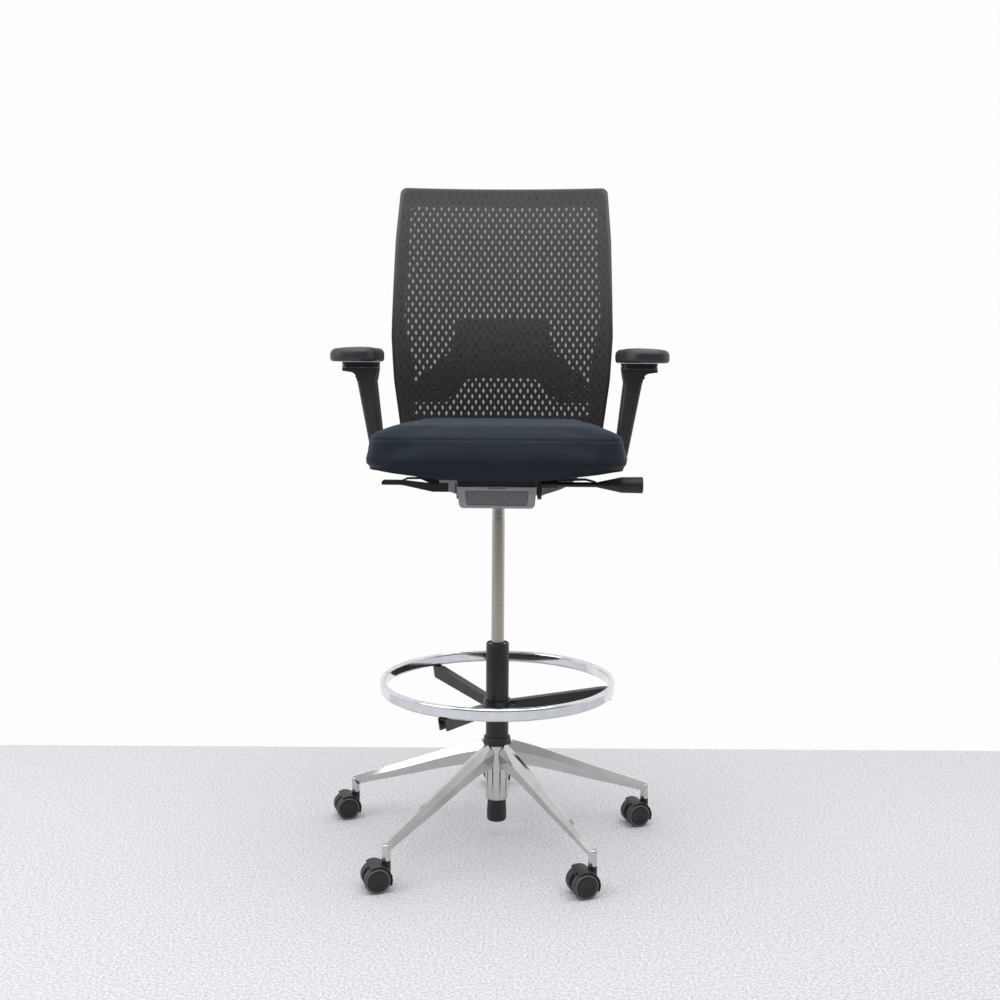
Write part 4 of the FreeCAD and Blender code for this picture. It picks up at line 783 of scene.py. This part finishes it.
def studio():
    """Pale floor, white surroundings that darken behind the camera, and soft lights."""
    shape = bmesh.new()
    bmesh.ops.create_grid(shape, x_segments=1, y_segments=1, size=1)
    bmesh.ops.transform(shape, matrix=Matrix.Rotation(math.radians(CAMERA_TURN), 4, "Z")
                        @ Matrix.Translation((0, -2.367, 0)) @ Matrix.Diagonal((5, 3, 1, 1)),
                        verts=shape.verts)
    mesh = bpy.data.meshes.new("floor")
    shape.to_mesh(mesh)
    shape.free()
    mesh.materials.append(floor_finish())
    floor = bpy.data.objects.new("floor", mesh)
    bpy.context.scene.collection.objects.link(floor)
    world = bpy.data.worlds.new("studio")
    world.use_nodes = True
    tree = world.node_tree
    tree.nodes.clear()
    way = add(tree, "TexCoord").outputs["Generated"]
    parts = add(tree, "SeparateXYZ", {0: way})
    forward = add(tree, "MapRange", {"Value": parts.outputs["Y"], "From Min": -0.6, "From Max": 0.1,
                                     "To Min": 0.0, "To Max": 1.0}, interpolation_type="SMOOTHSTEP")
    upward = add(tree, "MapRange", {"Value": parts.outputs["Z"], "From Min": 0.1, "From Max": 0.7,
                                    "To Min": 0.0, "To Max": 1.0}, interpolation_type="SMOOTHSTEP")
    bright = add(tree, "Math", {0: forward.outputs[0], 1: upward.outputs[0]}, operation="MAXIMUM")
    colour = add(tree, "Mix", {0: bright.outputs[0], 6: linear("#303234"), 7: linear("#fbfbfc")},
                 data_type="RGBA")
    back = add(tree, "Background", {"Color": colour.outputs[2], "Strength": 1.02})
    add(tree, "OutputWorld", {"Surface": back.outputs[0]})
    bpy.context.scene.world = world
    bpy.context.scene.view_settings.view_transform = "Standard"
    area_light("ceiling_panel", (0.2, -0.6, 3.4), (0, 0, 0.6), (3.4, 3.4), 70)
    area_light("window_left", (-2.8, -1.6, 2.0), (0, 0, 0.8), (1.8, 2.2), 28)


def front_camera():
    data = bpy.data.cameras.new("camera")
    data.sensor_width = 36
    data.lens = CAMERA_LENS
    camera = bpy.data.objects.new("camera", data)
    bpy.context.scene.collection.objects.link(camera)
    turn = (Matrix.Rotation(math.radians(CAMERA_TURN), 4, "Z")
            @ Matrix.Rotation(math.radians(90 - CAMERA_DOWN), 4, "X")
            @ Matrix.Rotation(math.radians(CAMERA_ROLL), 4, "Z"))
    camera.matrix_world = Matrix.Translation(CAMERA_PLACE) @ turn
    bpy.context.scene.camera = camera


# ---------------------------------------------------------------- the chair
finishes = {
    "polished_aluminium": polished_aluminium(),
    "bracket_aluminium": brushed_bracket_aluminium(),
    "cast_aluminium": satin_cast_aluminium(),
    "ring_chrome": ring_chrome(),
    "cylinder_steel": satin_nickel(),
    "pin_steel": ground_steel(),
    "black_steel": black_powder_coat(),
    "black_plastic": moulded_nylon(),
    "panel_plastic": panel_abs(),
    "wheel_plastic": tread_polyurethane(),
    "frame_plastic": frame_nylon(),
    "arm_pad": pad_polyurethane(),
    "mesh": knitted_net(),
    "net_lining": net_lining(),
    "seat_fabric": woven_seat_cloth(),
    "bush_plastic": bush_acetal(),
    "rim": rim_nylon(),
    "cap": cap_nylon(),
    "thread_with_painted_highlight": seam_thread_painted_highlight(),
}


def finish_cad_nodes():
    sleeve = sleeve_nylon()
    slots = {part["node"]: part["material_slot"] for part in frame["record"]["subparts"]}
    special = {"lumbar_support": lumbar_nylon(), "arm_left_sleeve": sleeve, "arm_right_sleeve": sleeve}
    for name, node in frame["nodes"].items():
        finish = special.get(name, finishes[slots[name]])
        for slot in node.material_slots:
            slot.material = finish
        if not node.material_slots:
            node.data.materials.append(finish)


finish_cad_nodes()
seat_cushion()
back_net()
for arm_side in ("left", "right"):
    arm_pad(arm_side)
for caster in range(1, 6):
    for wheel_side in ("left", "right"):
        wheel_trim(caster, wheel_side)
studio()
front_camera()
